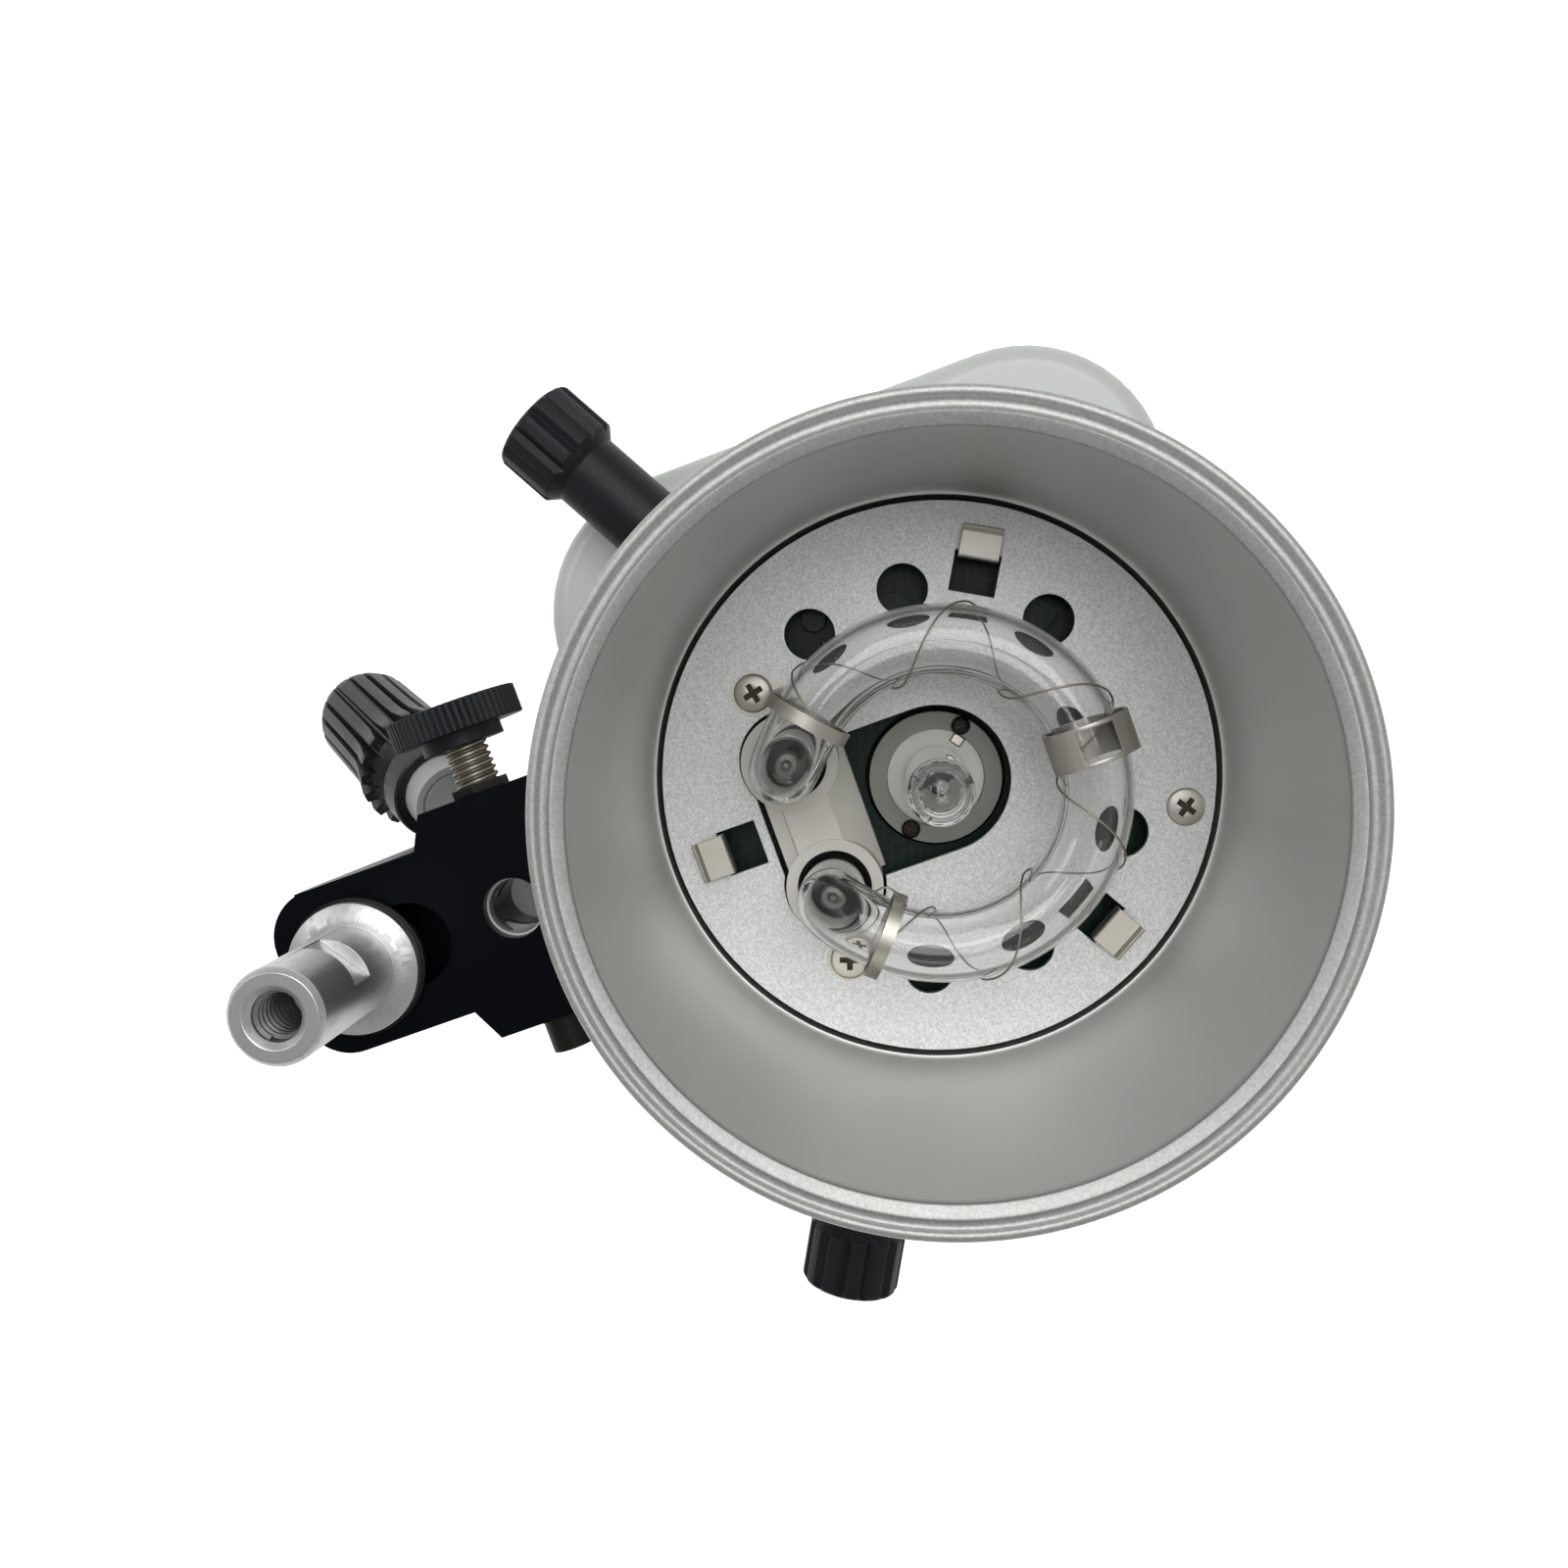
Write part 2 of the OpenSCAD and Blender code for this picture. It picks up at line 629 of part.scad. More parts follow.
module tube_bands() {
    width = 2.4;
    band_in = glass_r + gap + 2 * wire_r + gap;
    band_t = 0.5;
    drop_r = ring_r + band_in;
    color([0.62, 0.6, 0.52]) for (s = [0, 1]) mirror([s, 0, 0]) difference() {
        union() {
            around(band_a, 0) {
                translate([-width / 2, ring_r, ring_z]) rotate([0, 90, 0]) difference() {
                    cylinder(r = band_in + band_t, h = width);
                    translate([0, 0, -eps]) cylinder(r = band_in, h = width + 2 * eps);
                }
                translate([-width / 2, drop_r, plate_z]) cube([width, band_t, ring_rise]);
            }
            hull() {
                around(band_a, drop_r + width / 2) translate([0, 0, plate_z]) cylinder(r = width / 2, h = foot_t);
                around(screw_holes[0][0], screw_holes[0][1]) translate([0, 0, plate_z])
                    cylinder(r = screw_head_r + 0.6, h = foot_t);
            }
        }
        around(screw_holes[0][0], screw_holes[0][1]) translate([0, 0, plate_z - eps])
            cylinder(r = screw_head_r + 0.1, h = foot_t + 2 * eps);
    }
}

module lamp_holder() {
    color([0.55, 0.55, 0.52]) difference() {
        translate([0, 0, floor_z]) cylinder(r = holder_r, h = holder_top - floor_z);
        translate([0, 0, holder_floor]) cylinder(r = holder_bore, h = holder_top);
        for (a = [45, 225]) around(a, (holder_r + holder_bore) / 2) translate([0, 0, holder_top - 8])
            cylinder(r = 0.9, h = 8 + eps);
    }
}

module holder_screws() {
    color([0.12, 0.12, 0.12]) for (a = [45, 225]) around(a, (holder_r + holder_bore) / 2)
        translate([0, 0, holder_top]) difference() {
            union() {
                cylinder(r = 1.6, h = 1);
                translate([0, 0, -6]) cylinder(r = 0.85, h = 6);
            }
            translate([0, 0, 1]) cross_cut(1.8);
        }
}

module modelling_lamp() {
    wall = 0.9;
    dome_z = lamp_tip - lamp_r;
    glass_z = lamp_base + base_len;
    color([0.9, 0.93, 0.95, 0.5]) {
        difference() {
            union() {
                translate([0, 0, glass_z]) cylinder(r = lamp_r, h = dome_z - glass_z);
                translate([0, 0, dome_z]) sphere(lamp_r);
            }
            translate([0, 0, glass_z + 2]) cylinder(r = lamp_r - wall, h = dome_z - glass_z - 2);
            translate([0, 0, dome_z]) sphere(lamp_r - wall);
        }
        translate([-lamp_r + 1, -2, lamp_base]) cube([2 * lamp_r - 2, 4, base_len]);
    }
}

module lamp_filament() {
    foot = lamp_base + base_len + 2;
    color([0.5, 0.5, 0.5]) {
        for (s = [-1, 1]) translate([s * 2.5, 0, foot]) cylinder(r = 0.35, h = 18);
        translate([-2.8, 0, foot + 18]) rotate([0, 90, 0]) cylinder(r = 0.9, h = 5.6);
    }
}

// Inner radius of the bowl at a height above the throat: a flare that turns into a straight wall
flare_h = 17;
wall_in = rim_d / 2 - 6.1;
function bowl_in(h) = h >= flare_h ? wall_in + 0.6 * sin(min(90, 90 * (h - flare_h) / 30))
    : throat_r + (wall_in - throat_r) * sqrt(1 - pow(1 - h / flare_h, 2));

module reflector() {
    rim_r = rim_d / 2;
    heights = concat([0, 0.15, 0.6, 1.5, 3, 5, 7.5, 10.5, 14], [17, 24, 32, 42, 56, bowl_depth - 4]);
    inner = [for (h = heights) [bowl_in(h), plate_z + h]];
    outer = [for (i = [len(heights) - 1 : -1 : 3]) [bowl_in(heights[i]) + sheet, plate_z + heights[i] - 0.2]];
    rim = [[wall_in + 0.1, rim_z - 1.8], [wall_in + 0.5, rim_z - 0.9], [rim_r - 3.9, rim_z],
        [rim_r - 3.6, rim_z - 0.9], [rim_r - 1.9, rim_z - 0.9], [rim_r - 1.5, rim_z - 0.2],
        [rim_r - 0.9, rim_z], [rim_r - 0.3, rim_z - 0.3], [rim_r, rim_z - 0.9],
        [rim_r, rim_z - 2], [rim_r - 0.4, rim_z - 2.6], [rim_r - 1.2, rim_z - 2.8],
        [wall_in + sheet + 1.4, rim_z - 2.6]];
    collar = [[collar_r, plate_z + 1.2], [collar_r, plate_z - collar_len], [throat_r, plate_z - collar_len]];
    color([0.73, 0.73, 0.7]) rotate_extrude($fn = 128) polygon(concat(inner, rim, outer, collar));
}

module lock_screw(angle) {
    color([0.55, 0.53, 0.48]) around(angle, 0) translate([0, lock_tip, lock_z]) rotate([-90, 0, 0])
        cylinder(r = lock_thread_r, h = lock_shaft_at + 10 - lock_tip);
}

module lock_screw_left() { lock_screw(lock_angle); }
module lock_screw_right() { lock_screw(-lock_angle); }

module lock_knob(angle) {
    length = lock_reach - lock_shaft_at;
    head_at = lock_head_at - lock_shaft_at;
    head_r = lock_head_d / 2;
    color([0.1, 0.11, 0.12]) around(angle, 0) translate([0, lock_shaft_at, lock_z]) rotate([-90, 0, 0])
        difference() {
            union() {
                cylinder(d = lock_shaft_d, h = head_at + 1);
                intersection() {
                    translate([0, 0, head_at]) linear_extrude(lock_head_len) polygon(fluted(head_r, 1.1, 12));
                    rotate_extrude() polygon([[0, head_at], [lock_shaft_d / 2 - 0.2, head_at],
                        [head_r + 0.8, head_at + 3.2], [head_r + 0.8, length - 2.6], [head_r - 0.5, length - 0.7],
                        [head_r - 1.6, length - 0.2], [head_r - 3, length], [0, length]]);
                }
            }
            translate([0, 0, -eps]) cylinder(r = lock_thread_r + run, h = 11 + eps);
        }
}

module lock_knob_left() { lock_knob(lock_angle); }
module lock_knob_right() { lock_knob(-lock_angle); }

// Screws of the tilt arm's foot: x and z
function arm_holes() = [for (sx = [-1, 1]) for (z = [foot_z0 + 8, foot_z1 - 20])
    [bracket_x + sx * (foot_w / 2 - 6), z]];

module tilt_arm() {
    foot_y = -half_h - arm_foot_t;
    color([0.72, 0.73, 0.72]) difference() {
        union() {
            translate([bracket_x - foot_w / 2, foot_y, foot_z0]) cube([foot_w, arm_foot_t, foot_z1 - foot_z0]);
            translate([bracket_x - arm_t / 2, 0, 0]) rotate([90, 0, 90]) linear_extrude(arm_t)
                polygon([[foot_y + 1, foot_z0 + 8], [foot_y + 1, foot_z1], [foot_y + 0.5, case_len + 2],
                    [-axle_y + 9, axle_z + 6], [-axle_y, axle_z], [-axle_y - 9, axle_z - 6],
                    [foot_y - 12, foot_z1 - 16]]);
            translate([bracket_x - lobe_in + gap, -axle_y, axle_z]) rotate([0, 90, 0])
                cylinder(r = barrel_r, h = 2 * (lobe_in - gap));
        }
        translate([bracket_x, -axle_y, axle_z]) rotate([0, 90, 0])
            cylinder(r = axle_r + run, h = lobe_in + eps);
        for (p = arm_holes()) translate([p[0], foot_y - eps, p[1]]) rotate([-90, 0, 0])
            cylinder(r = foot_screw_r + run, h = arm_foot_t + 2 * eps);
    }
}

module arm_screws() {
    foot_y = -half_h - arm_foot_t;
    color([0.2, 0.2, 0.2]) for (p = arm_holes()) translate([p[0], foot_y, p[1]]) rotate([-90, 0, 0]) {
        difference() {
            translate([0, 0, -3]) cylinder(r = 4.5, h = 3);
            translate([0, 0, -3]) cylinder(r = 2.3, h = 1.8, $fn = 6);
        }
        cylinder(r = foot_screw_r, h = arm_foot_t + case_wall + tray_t + 2);
    }
}

module tilt_axle() {
    color([0.12, 0.12, 0.13]) translate([bracket_x, -axle_y, axle_z]) rotate([0, 90, 0]) {
        translate([0, 0, 2]) cylinder(r = axle_r, h = lobe_out + gap - 2);
        difference() {
            translate([0, 0, lobe_out + gap]) cylinder(r = 6.5, h = 4);
            translate([0, 0, lobe_out + gap + 2]) cylinder(r = 2.9, h = 4, $fn = 6);
        }
    }
}

module clamp_boss() {
    inner_x = bracket_x - lobe_in + gap;
    color([0.74, 0.75, 0.74]) difference() {
        union() {
            translate(boss_at) rotate(lean) cylinder(r = boss_r, h = boss_len);
            translate([inner_x, -axle_y, axle_z]) rotate([0, -90, 0]) cylinder(r = neck_r, h = 8);
        }
        translate([inner_x, -2 * axle_y, 0]) cube([40, 2 * axle_y, 2 * axle_z]);
        translate(boss_at) rotate(lean) {
            translate([0, 0, 4]) cylinder(r = stud_r + run, h = boss_len);
            difference() {
                translate([0, 0, -eps]) cylinder(r = boss_r - 1.4, h = eps + 0.7);
                translate([0, 0, -2 * eps]) cylinder(r = boss_r - 2, h = 3 * eps + 1);
            }
        }
    }
}

module tilt_stud() {
    color([0.6, 0.58, 0.54]) translate(boss_at) rotate(lean)
        translate([0, 0, 4]) cylinder(r = stud_r, h = skirt_at + 14);
}

module tilt_knob() {
    skirt_r = knob_r + 1.6;
    ribs = 18;
    far_at = skirt_at + knob_len;
    color([0.2, 0.2, 0.21]) translate(boss_at) rotate(lean) difference() {
        rotate_extrude() polygon([[0, boss_len + gap], [6, boss_len + gap], [6, boss_len + 1.6],
            [skirt_r - 2.2, skirt_at], [skirt_r, skirt_at + 0.4], [skirt_r, skirt_at + 1.6],
            [knob_r + 0.3, skirt_at + 7], [knob_r, skirt_at + 12], [knob_r - 0.4, far_at - 5],
            [knob_r - 1.2, far_at - 2.4], [knob_r - 2.8, far_at - 0.8], [knob_r - 5, far_at], [0, far_at]]);
        for (i = [0 : ribs - 1]) rotate([0, 0, 360 * i / ribs]) translate([0, 0, skirt_at - 1])
            linear_extrude(knob_len - 1) polygon([[knob_r - 1.5, -0.25], [skirt_r + 1, -1.6],
                [skirt_r + 1, 1.6], [knob_r - 1.5, 0.25]]);
        cylinder(r = stud_r + run, h = skirt_at + 19);
    }
}

// Side of the lobe, drawn in Y and Z: an ear round the tilt axle that widens into the front plate
module lobe_side() {
    corner = [lobe_end + 6, front_z - 11];
    reach = norm([corner[0] + axle_y, corner[1] - axle_z]);
    a = atan2(corner[1] - axle_z, corner[0] + axle_y) + acos(ear_r / reach);
    b = 20;
    translate([-axle_y, axle_z]) circle(ear_r);
    polygon([[step_y + 2.4 - eps, back_z + eps], [lobe_end + 6, back_z + eps], corner,
        [-axle_y + ear_r * cos(a), axle_z + ear_r * sin(a)], [-axle_y, axle_z],
        [-axle_y + ear_r * cos(b), axle_z + ear_r * sin(b)], [step_y + 2.4 - eps, block_z - 4]]);
}

module bracket() {
    color([0.06, 0.07, 0.09]) difference() {
        union() {
            translate([bracket_x, 0, back_z]) linear_extrude(bracket_t) {
                translate([-wide_out, step_y + 2]) square([wide_w, top_y - step_y - 2]);
                polygon([[-wide_out, step_y + 2.1], [-wide_out, step_y], [-lobe_out, step_y - 3],
                    [lobe_out, step_y - 3], [wide_out, step_y], [wide_out, step_y + 2.1]]);
                translate([-lobe_out, lobe_end + lobe_r]) square([lobe_w, step_y - lobe_end - lobe_r]);
                translate([-lobe_out + lobe_r, lobe_end]) square([lobe_w - 2 * lobe_r, lobe_r + 1]);
                for (s = [-1, 1]) translate([s * (lobe_out - lobe_r), lobe_end + lobe_r]) circle(lobe_r);
            }
            for (x = [-wide_out, wide_in]) translate([bracket_x + x, step_y, side_z])
                cube([bracket_t, top_y - step_y, back_z - side_z + 1]);
            for (x = [-lobe_out, lobe_in]) translate([bracket_x + x, 0, 0]) rotate([90, 0, 90])
                linear_extrude(bracket_t) lobe_side();
        }
        translate([bracket_x, umbrella_y, back_z - eps]) cylinder(r = umbrella_r + 0.4, h = bracket_t + 2 * eps);
        translate([spigot_x, spigot_y, back_z - eps]) cylinder(r = bolt_r + 0.2, h = bracket_t + 2 * eps);
        translate([bracket_x, spigot_y + 10.1, back_z - eps]) cylinder(r = 7.6, h = bracket_t + 2 * eps);
        translate([bracket_x - lobe_out - eps, -axle_y, axle_z]) rotate([0, 90, 0])
            cylinder(r = neck_r + run, h = bracket_t + 2 * eps);
        translate([bracket_x + lobe_in - eps, -axle_y, axle_z]) rotate([0, 90, 0])
            cylinder(r = axle_r + run, h = bracket_t + 2 * eps);
        translate([bracket_x - wide_out - eps, umbrella_y, thumb_z]) rotate([0, 90, 0])
            cylinder(r = thumb_r + run, h = bracket_t + 2 * eps);
        translate([bracket_x + wide_in - eps, umbrella_y, thumb_z]) rotate([0, 90, 0])
            cylinder(r = 2.6, h = bracket_t + 2 * eps);
    }
}

module umbrella_block() {
    color([0.6, 0.61, 0.6]) translate([bracket_x, 0, 0]) difference() {
        translate([-wide_in, block_y0, block_z]) cube([2 * wide_in, block_y1 - block_y0, back_z - block_z]);
        translate([0, umbrella_y, block_z - eps]) cylinder(r = umbrella_r, h = back_z - block_z + 2 * eps);
        translate([-wide_in - eps, umbrella_y, thumb_z]) rotate([0, 90, 0])
            cylinder(r = thumb_r + run, h = wide_in + eps);
        translate([wide_in - 9, umbrella_y, thumb_z]) rotate([0, 90, 0]) cylinder(r = 2.5 + run, h = 9 + eps);
    }
}

module block_screw() {
    color([0.13, 0.13, 0.12]) translate([bracket_x, umbrella_y, thumb_z]) rotate([0, 90, 0]) {
        translate([0, 0, wide_in - 8]) cylinder(r = 2.5, h = 8 + bracket_t);
        translate([0, 0, wide_out]) cylinder(r = 5, h = 0.8);
        difference() {
            translate([0, 0, wide_out + 0.8]) cylinder(r = 4.3, h = 6);
            translate([0, 0, wide_out + 4.3]) cylinder(r = 2.3, h = 4, $fn = 6);
        }
    }
}

module thumb_screw() {
    color([0.55, 0.53, 0.46]) translate([bracket_x, umbrella_y, thumb_z]) rotate([0, -90, 0])
        translate([0, 0, umbrella_r + 0.2]) cylinder(r = thumb_r, h = wheel_at + 6 - umbrella_r);
}

module thumb_nut() {
    color([0.08, 0.08, 0.08]) translate([bracket_x - wide_out, umbrella_y, thumb_z]) rotate([0, -90, 0])
        difference() {
            cylinder(r = 5.4, h = 1.6, $fn = 6);
            translate([0, 0, -eps]) cylinder(r = thumb_r + run, h = 3);
        }
}

module thumb_wheel() {
    collar_t = 2.5;
    color([0.09, 0.09, 0.09]) translate([bracket_x, umbrella_y, thumb_z]) rotate([0, -90, 0])
        translate([0, 0, wheel_at + 2.5]) difference() {
            union() {
                translate([0, 0, -collar_t]) cylinder(r = 7.5, h = collar_t + 1);
                linear_extrude(wheel_t) polygon(fluted(wheel_r, 0.4, 56));
            }
            translate([0, 0, -collar_t - eps]) cylinder(r = thumb_r + run, h = collar_t + eps + 4);
        }
}

module spigot() {
    hole_depth = 20;
    color([0.8, 0.8, 0.8]) translate([spigot_x, spigot_y, 0]) difference() {
        union() {
            translate([0, 0, flange_z]) cylinder(r = 11.85, h = flange_t - 1.8);
            translate([0, 0, spigot_z - 1.8]) cylinder(r1 = 11.85, r2 = spigot_d / 2 + 0.6, h = 1.8);
            translate([0, 0, spigot_z - 1]) cylinder(d = spigot_d, h = spigot_len);
            translate([0, 0, spigot_top - 1]) cylinder(d1 = spigot_d, d2 = spigot_d - 1.6, h = 1);
        }
        translate([0, 0, spigot_top - hole_depth]) cylinder(r = tap_r, h = hole_depth + eps);
        translate([0, 0, spigot_top - 1.1]) cylinder(r1 = tap_r, r2 = tap_r + 1.15, h = 1.1 + eps / 10);
        translate([0, 0, flange_z - eps]) cylinder(r = bolt_r + run, h = 12 + eps);
    }
}

module spigot_washer() {
    color([0.08, 0.08, 0.08]) translate([spigot_x, spigot_y, front_z]) difference() {
        cylinder(r = 12.5, h = washer_t);
        translate([0, 0, -eps]) cylinder(r = bolt_r + run, h = washer_t + 2 * eps);
    }
}

module spigot_bolt() {
    color([0.3, 0.3, 0.3]) translate([spigot_x, spigot_y, back_z]) {
        cylinder(r = bolt_r, h = bracket_t + washer_t + 11);
        translate([0, 0, -5.3]) cylinder(r = 7.5, h = 5.3, $fn = 6);
    }
}

module dial(at, d, tall) {
    translate([at[0], at[1], face_z]) mirror([0, 0, 1]) {
        difference() {
            intersection() {
                translate([0, 0, gap]) linear_extrude(tall) polygon(fluted(d / 2, 0.7, 30));
                rotate_extrude() polygon([[0, 0], [d / 2 + 0.7, 0], [d / 2 + 0.7, tall - 2.2],
                    [d / 2 - 1.5, tall], [0, tall]]);
            }
            translate([-0.6, 2, tall - 0.8]) cube([1.2, d / 2 - 3, 2]);
        }
        translate([0, 0, -panel_t - 2]) cylinder(r = 3, h = panel_t + 3);
    }
}

module power_dial() { color([0.07, 0.07, 0.08]) dial(dial_at, dial_d, 10); }
module lamp_dial() { color([0.07, 0.07, 0.08]) dial(lamp_dial_at, lamp_dial_d, 9); }

// Rocker whose two faces slope away from its pivot
module rocker(at) {
    translate([at[0] - 6, at[1], face_z]) rotate([90, 0, 90]) linear_extrude(12)
        polygon([[-9, -0.2], [-9, -4.4], [0, -2.4], [9, -3], [9, -0.2], [3, panel_t + 1], [-3, panel_t + 1]]);
}

module mains_rocker() { color([0.5, 0.08, 0.06]) rocker(mains_at); }
module cell_rocker() { color([0.07, 0.07, 0.08]) rocker(cell_at); }

module test_button() {
    color([0.75, 0.12, 0.08]) translate([button_at[0], button_at[1], face_z]) {
        translate([0, 0, -4]) cylinder(r = 4, h = panel_t + 5);
        translate([0, 0, panel_t + gap]) cylinder(r = 5.5, h = 1.5);
    }
}

module ready_lamp() {
    color([0.9, 0.45, 0.1]) translate([ready_at[0], ready_at[1], face_z]) {
        translate([0, 0, -2]) cylinder(r = 2.5, h = panel_t + 4);
        translate([0, 0, panel_t]) cylinder(r = 3.5, h = 1.2);
    }
}

module photocell() {
    color([0.5, 0.1, 0.1]) translate([eye_at[0], eye_at[1], face_z]) {
        intersection() {
            translate([0, 0, 1.2]) sphere(6);
            translate([-7, -7, -8]) cube([14, 14, 8]);
        }
        cylinder(r = 5, h = panel_t + 2);
    }
}

module sync_jack() {
    color([0.2, 0.2, 0.2]) translate([jack_at[0], jack_at[1], face_z]) difference() {
        union() {
            cylinder(r = 5, h = 20);
            translate([0, 0, -2]) cylinder(r = 7, h = 2, $fn = 6);
        }
        translate([0, 0, -2 - eps]) cylinder(r = sync_r, h = 18 + eps);
    }
}

module power_inlet() {
    color([0.06, 0.06, 0.06]) translate([inlet_at[0], inlet_at[1], face_z]) difference() {
        union() {
            translate([-13.8, -9.8, 0]) cube([27.6, 19.6, 22]);
            translate([-16, -12, -2]) cube([32, 24, 2]);
        }
        translate([-11.5, -7.8, -2 - eps]) cube([23, 15.6, 18 + eps]);
    }
}

module inlet_pins() {
    color([0.75, 0.72, 0.6]) translate([inlet_at[0], inlet_at[1], face_z]) for (p = [[-7, -2], [0, 2], [7, -2]])
        translate([p[0] - 1, p[1] - 2, 2]) cube([2, 4, 14]);
}

rear_frame();
rear_panel();
case_shell();
front_cover();
mount_ring();
chassis();
capacitors();
power_board();
trigger_coil();
face_board();
face_plate();
plate_pillars();
plate_screws();
dome_clips();
tube_socket();
flash_tube();
tube_electrodes();
trigger_wire();
tube_clip();
tube_bands();
lamp_holder();
holder_screws();
modelling_lamp();
lamp_filament();
reflector();
lock_knob_left();
lock_knob_right();
lock_screw_left();
lock_screw_right();
tilt_arm();
arm_screws();
clamp_boss();
tilt_knob();
tilt_stud();
tilt_axle();
bracket();
umbrella_block();
block_screw();
thumb_wheel();
thumb_screw();
thumb_nut();
spigot();
spigot_washer();
spigot_bolt();
power_dial();
lamp_dial();
mains_rocker();
cell_rocker();
test_button();
sync_jack();
photocell();
ready_lamp();
power_inlet();
inlet_pins();
panel_screws();
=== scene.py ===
# %% [markdown]
# # A studio flash head, dressed for its portrait
# The lamp stands on its rear rim and looks straight up, with its bowl reflector, ring flash tube and
# tilting bracket. The solid model gives every size. This lesson adds what a solid model leaves out:
# soft edges, threads, knurls, glass that bends light, and finishes that show how each piece was made.

# %% Load the solid model as a fixed frame
import json
import math

import bmesh
import bpy
from mathutils import Matrix, Vector


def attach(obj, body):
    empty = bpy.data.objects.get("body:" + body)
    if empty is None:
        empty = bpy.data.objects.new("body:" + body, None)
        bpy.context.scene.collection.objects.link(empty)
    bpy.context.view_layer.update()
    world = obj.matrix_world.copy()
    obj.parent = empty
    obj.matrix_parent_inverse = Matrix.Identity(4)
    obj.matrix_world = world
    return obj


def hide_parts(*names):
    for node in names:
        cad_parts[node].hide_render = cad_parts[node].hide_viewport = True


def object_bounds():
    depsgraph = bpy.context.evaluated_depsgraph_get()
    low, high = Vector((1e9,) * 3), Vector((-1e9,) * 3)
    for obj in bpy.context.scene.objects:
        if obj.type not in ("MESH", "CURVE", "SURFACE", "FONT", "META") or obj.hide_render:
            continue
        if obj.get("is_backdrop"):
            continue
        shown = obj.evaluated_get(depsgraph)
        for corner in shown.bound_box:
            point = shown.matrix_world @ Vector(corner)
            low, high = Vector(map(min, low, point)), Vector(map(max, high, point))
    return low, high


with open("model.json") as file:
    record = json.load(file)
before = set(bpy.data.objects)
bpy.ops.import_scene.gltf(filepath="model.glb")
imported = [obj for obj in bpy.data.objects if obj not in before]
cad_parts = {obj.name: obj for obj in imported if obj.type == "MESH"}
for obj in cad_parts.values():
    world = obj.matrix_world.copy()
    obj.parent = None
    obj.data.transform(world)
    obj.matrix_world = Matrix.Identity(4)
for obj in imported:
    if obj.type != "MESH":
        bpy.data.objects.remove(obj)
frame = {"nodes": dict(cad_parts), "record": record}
solid_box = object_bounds()
nodes = frame["nodes"]
body_of = {name: body for body, names in frame["record"]["behaviour"]["bodies"].items() for name in names}
slot_of = {part["node"]: part["material_slot"] for part in frame["record"]["subparts"]}
mm = 0.001
print("pieces in the solid model:", len(nodes))

# %% [markdown]
# ## The camera
# The photograph looks down into the bowl from half a metre away, a little off the lamp's axis. The
# round outlines of the rim, the throat and the face plate are ellipses in the picture, and they fix
# the camera's place and turn. The lens is as long as the sensor is wide.

# %% Stand the camera where the photographer stood
camera = bpy.data.objects.new("camera", bpy.data.cameras.new("camera"))
bpy.context.scene.collection.objects.link(camera)
bpy.context.scene.camera = camera
camera.data.sensor_width = 36
camera.data.lens = 36
camera.data.clip_start = 0.01
right = Vector((0.3413, 0.9377, -0.0650))
up = Vector((-0.9377, 0.3349, -0.0923))
back = Vector((-0.0648, 0.0925, 0.9936))
stand = Matrix.Translation((-0.02949, 0.000116, 0.5194))
camera.matrix_world = stand @ Matrix((right, up, back)).transposed().to_4x4()
print("camera height above the table:", round(camera.location.z, 3))

# %% [markdown]
# ## A small language for shaders
# A finish is a tree of nodes, and most of it is arithmetic on textures. Wrapping a socket in a class
# with its own plus and times lets that arithmetic be written as plain sums, which read far better
# than chains of nodes. Every other node comes from one method.


# %% Sockets that add, and finishes that hold them
class Socket:
    def __init__(self, finish, socket):
        self.finish, self.socket = finish, socket

    def __add__(self, other):
        return self.finish.sum("ADD", self, other)

    def __sub__(self, other):
        return self.finish.sum("SUBTRACT", self, other)

    def __mul__(self, other):
        return self.finish.sum("MULTIPLY", self, other)

    def __pow__(self, other):
        return self.finish.sum("POWER", self, other)

    __radd__, __rmul__ = __add__, __mul__

    def above(self, level, soft=0.05):
        ends = {"Value": self, "From Min": level - soft, "From Max": level + soft}
        return self.finish.node("MapRange", {"clamp": True}, ends)


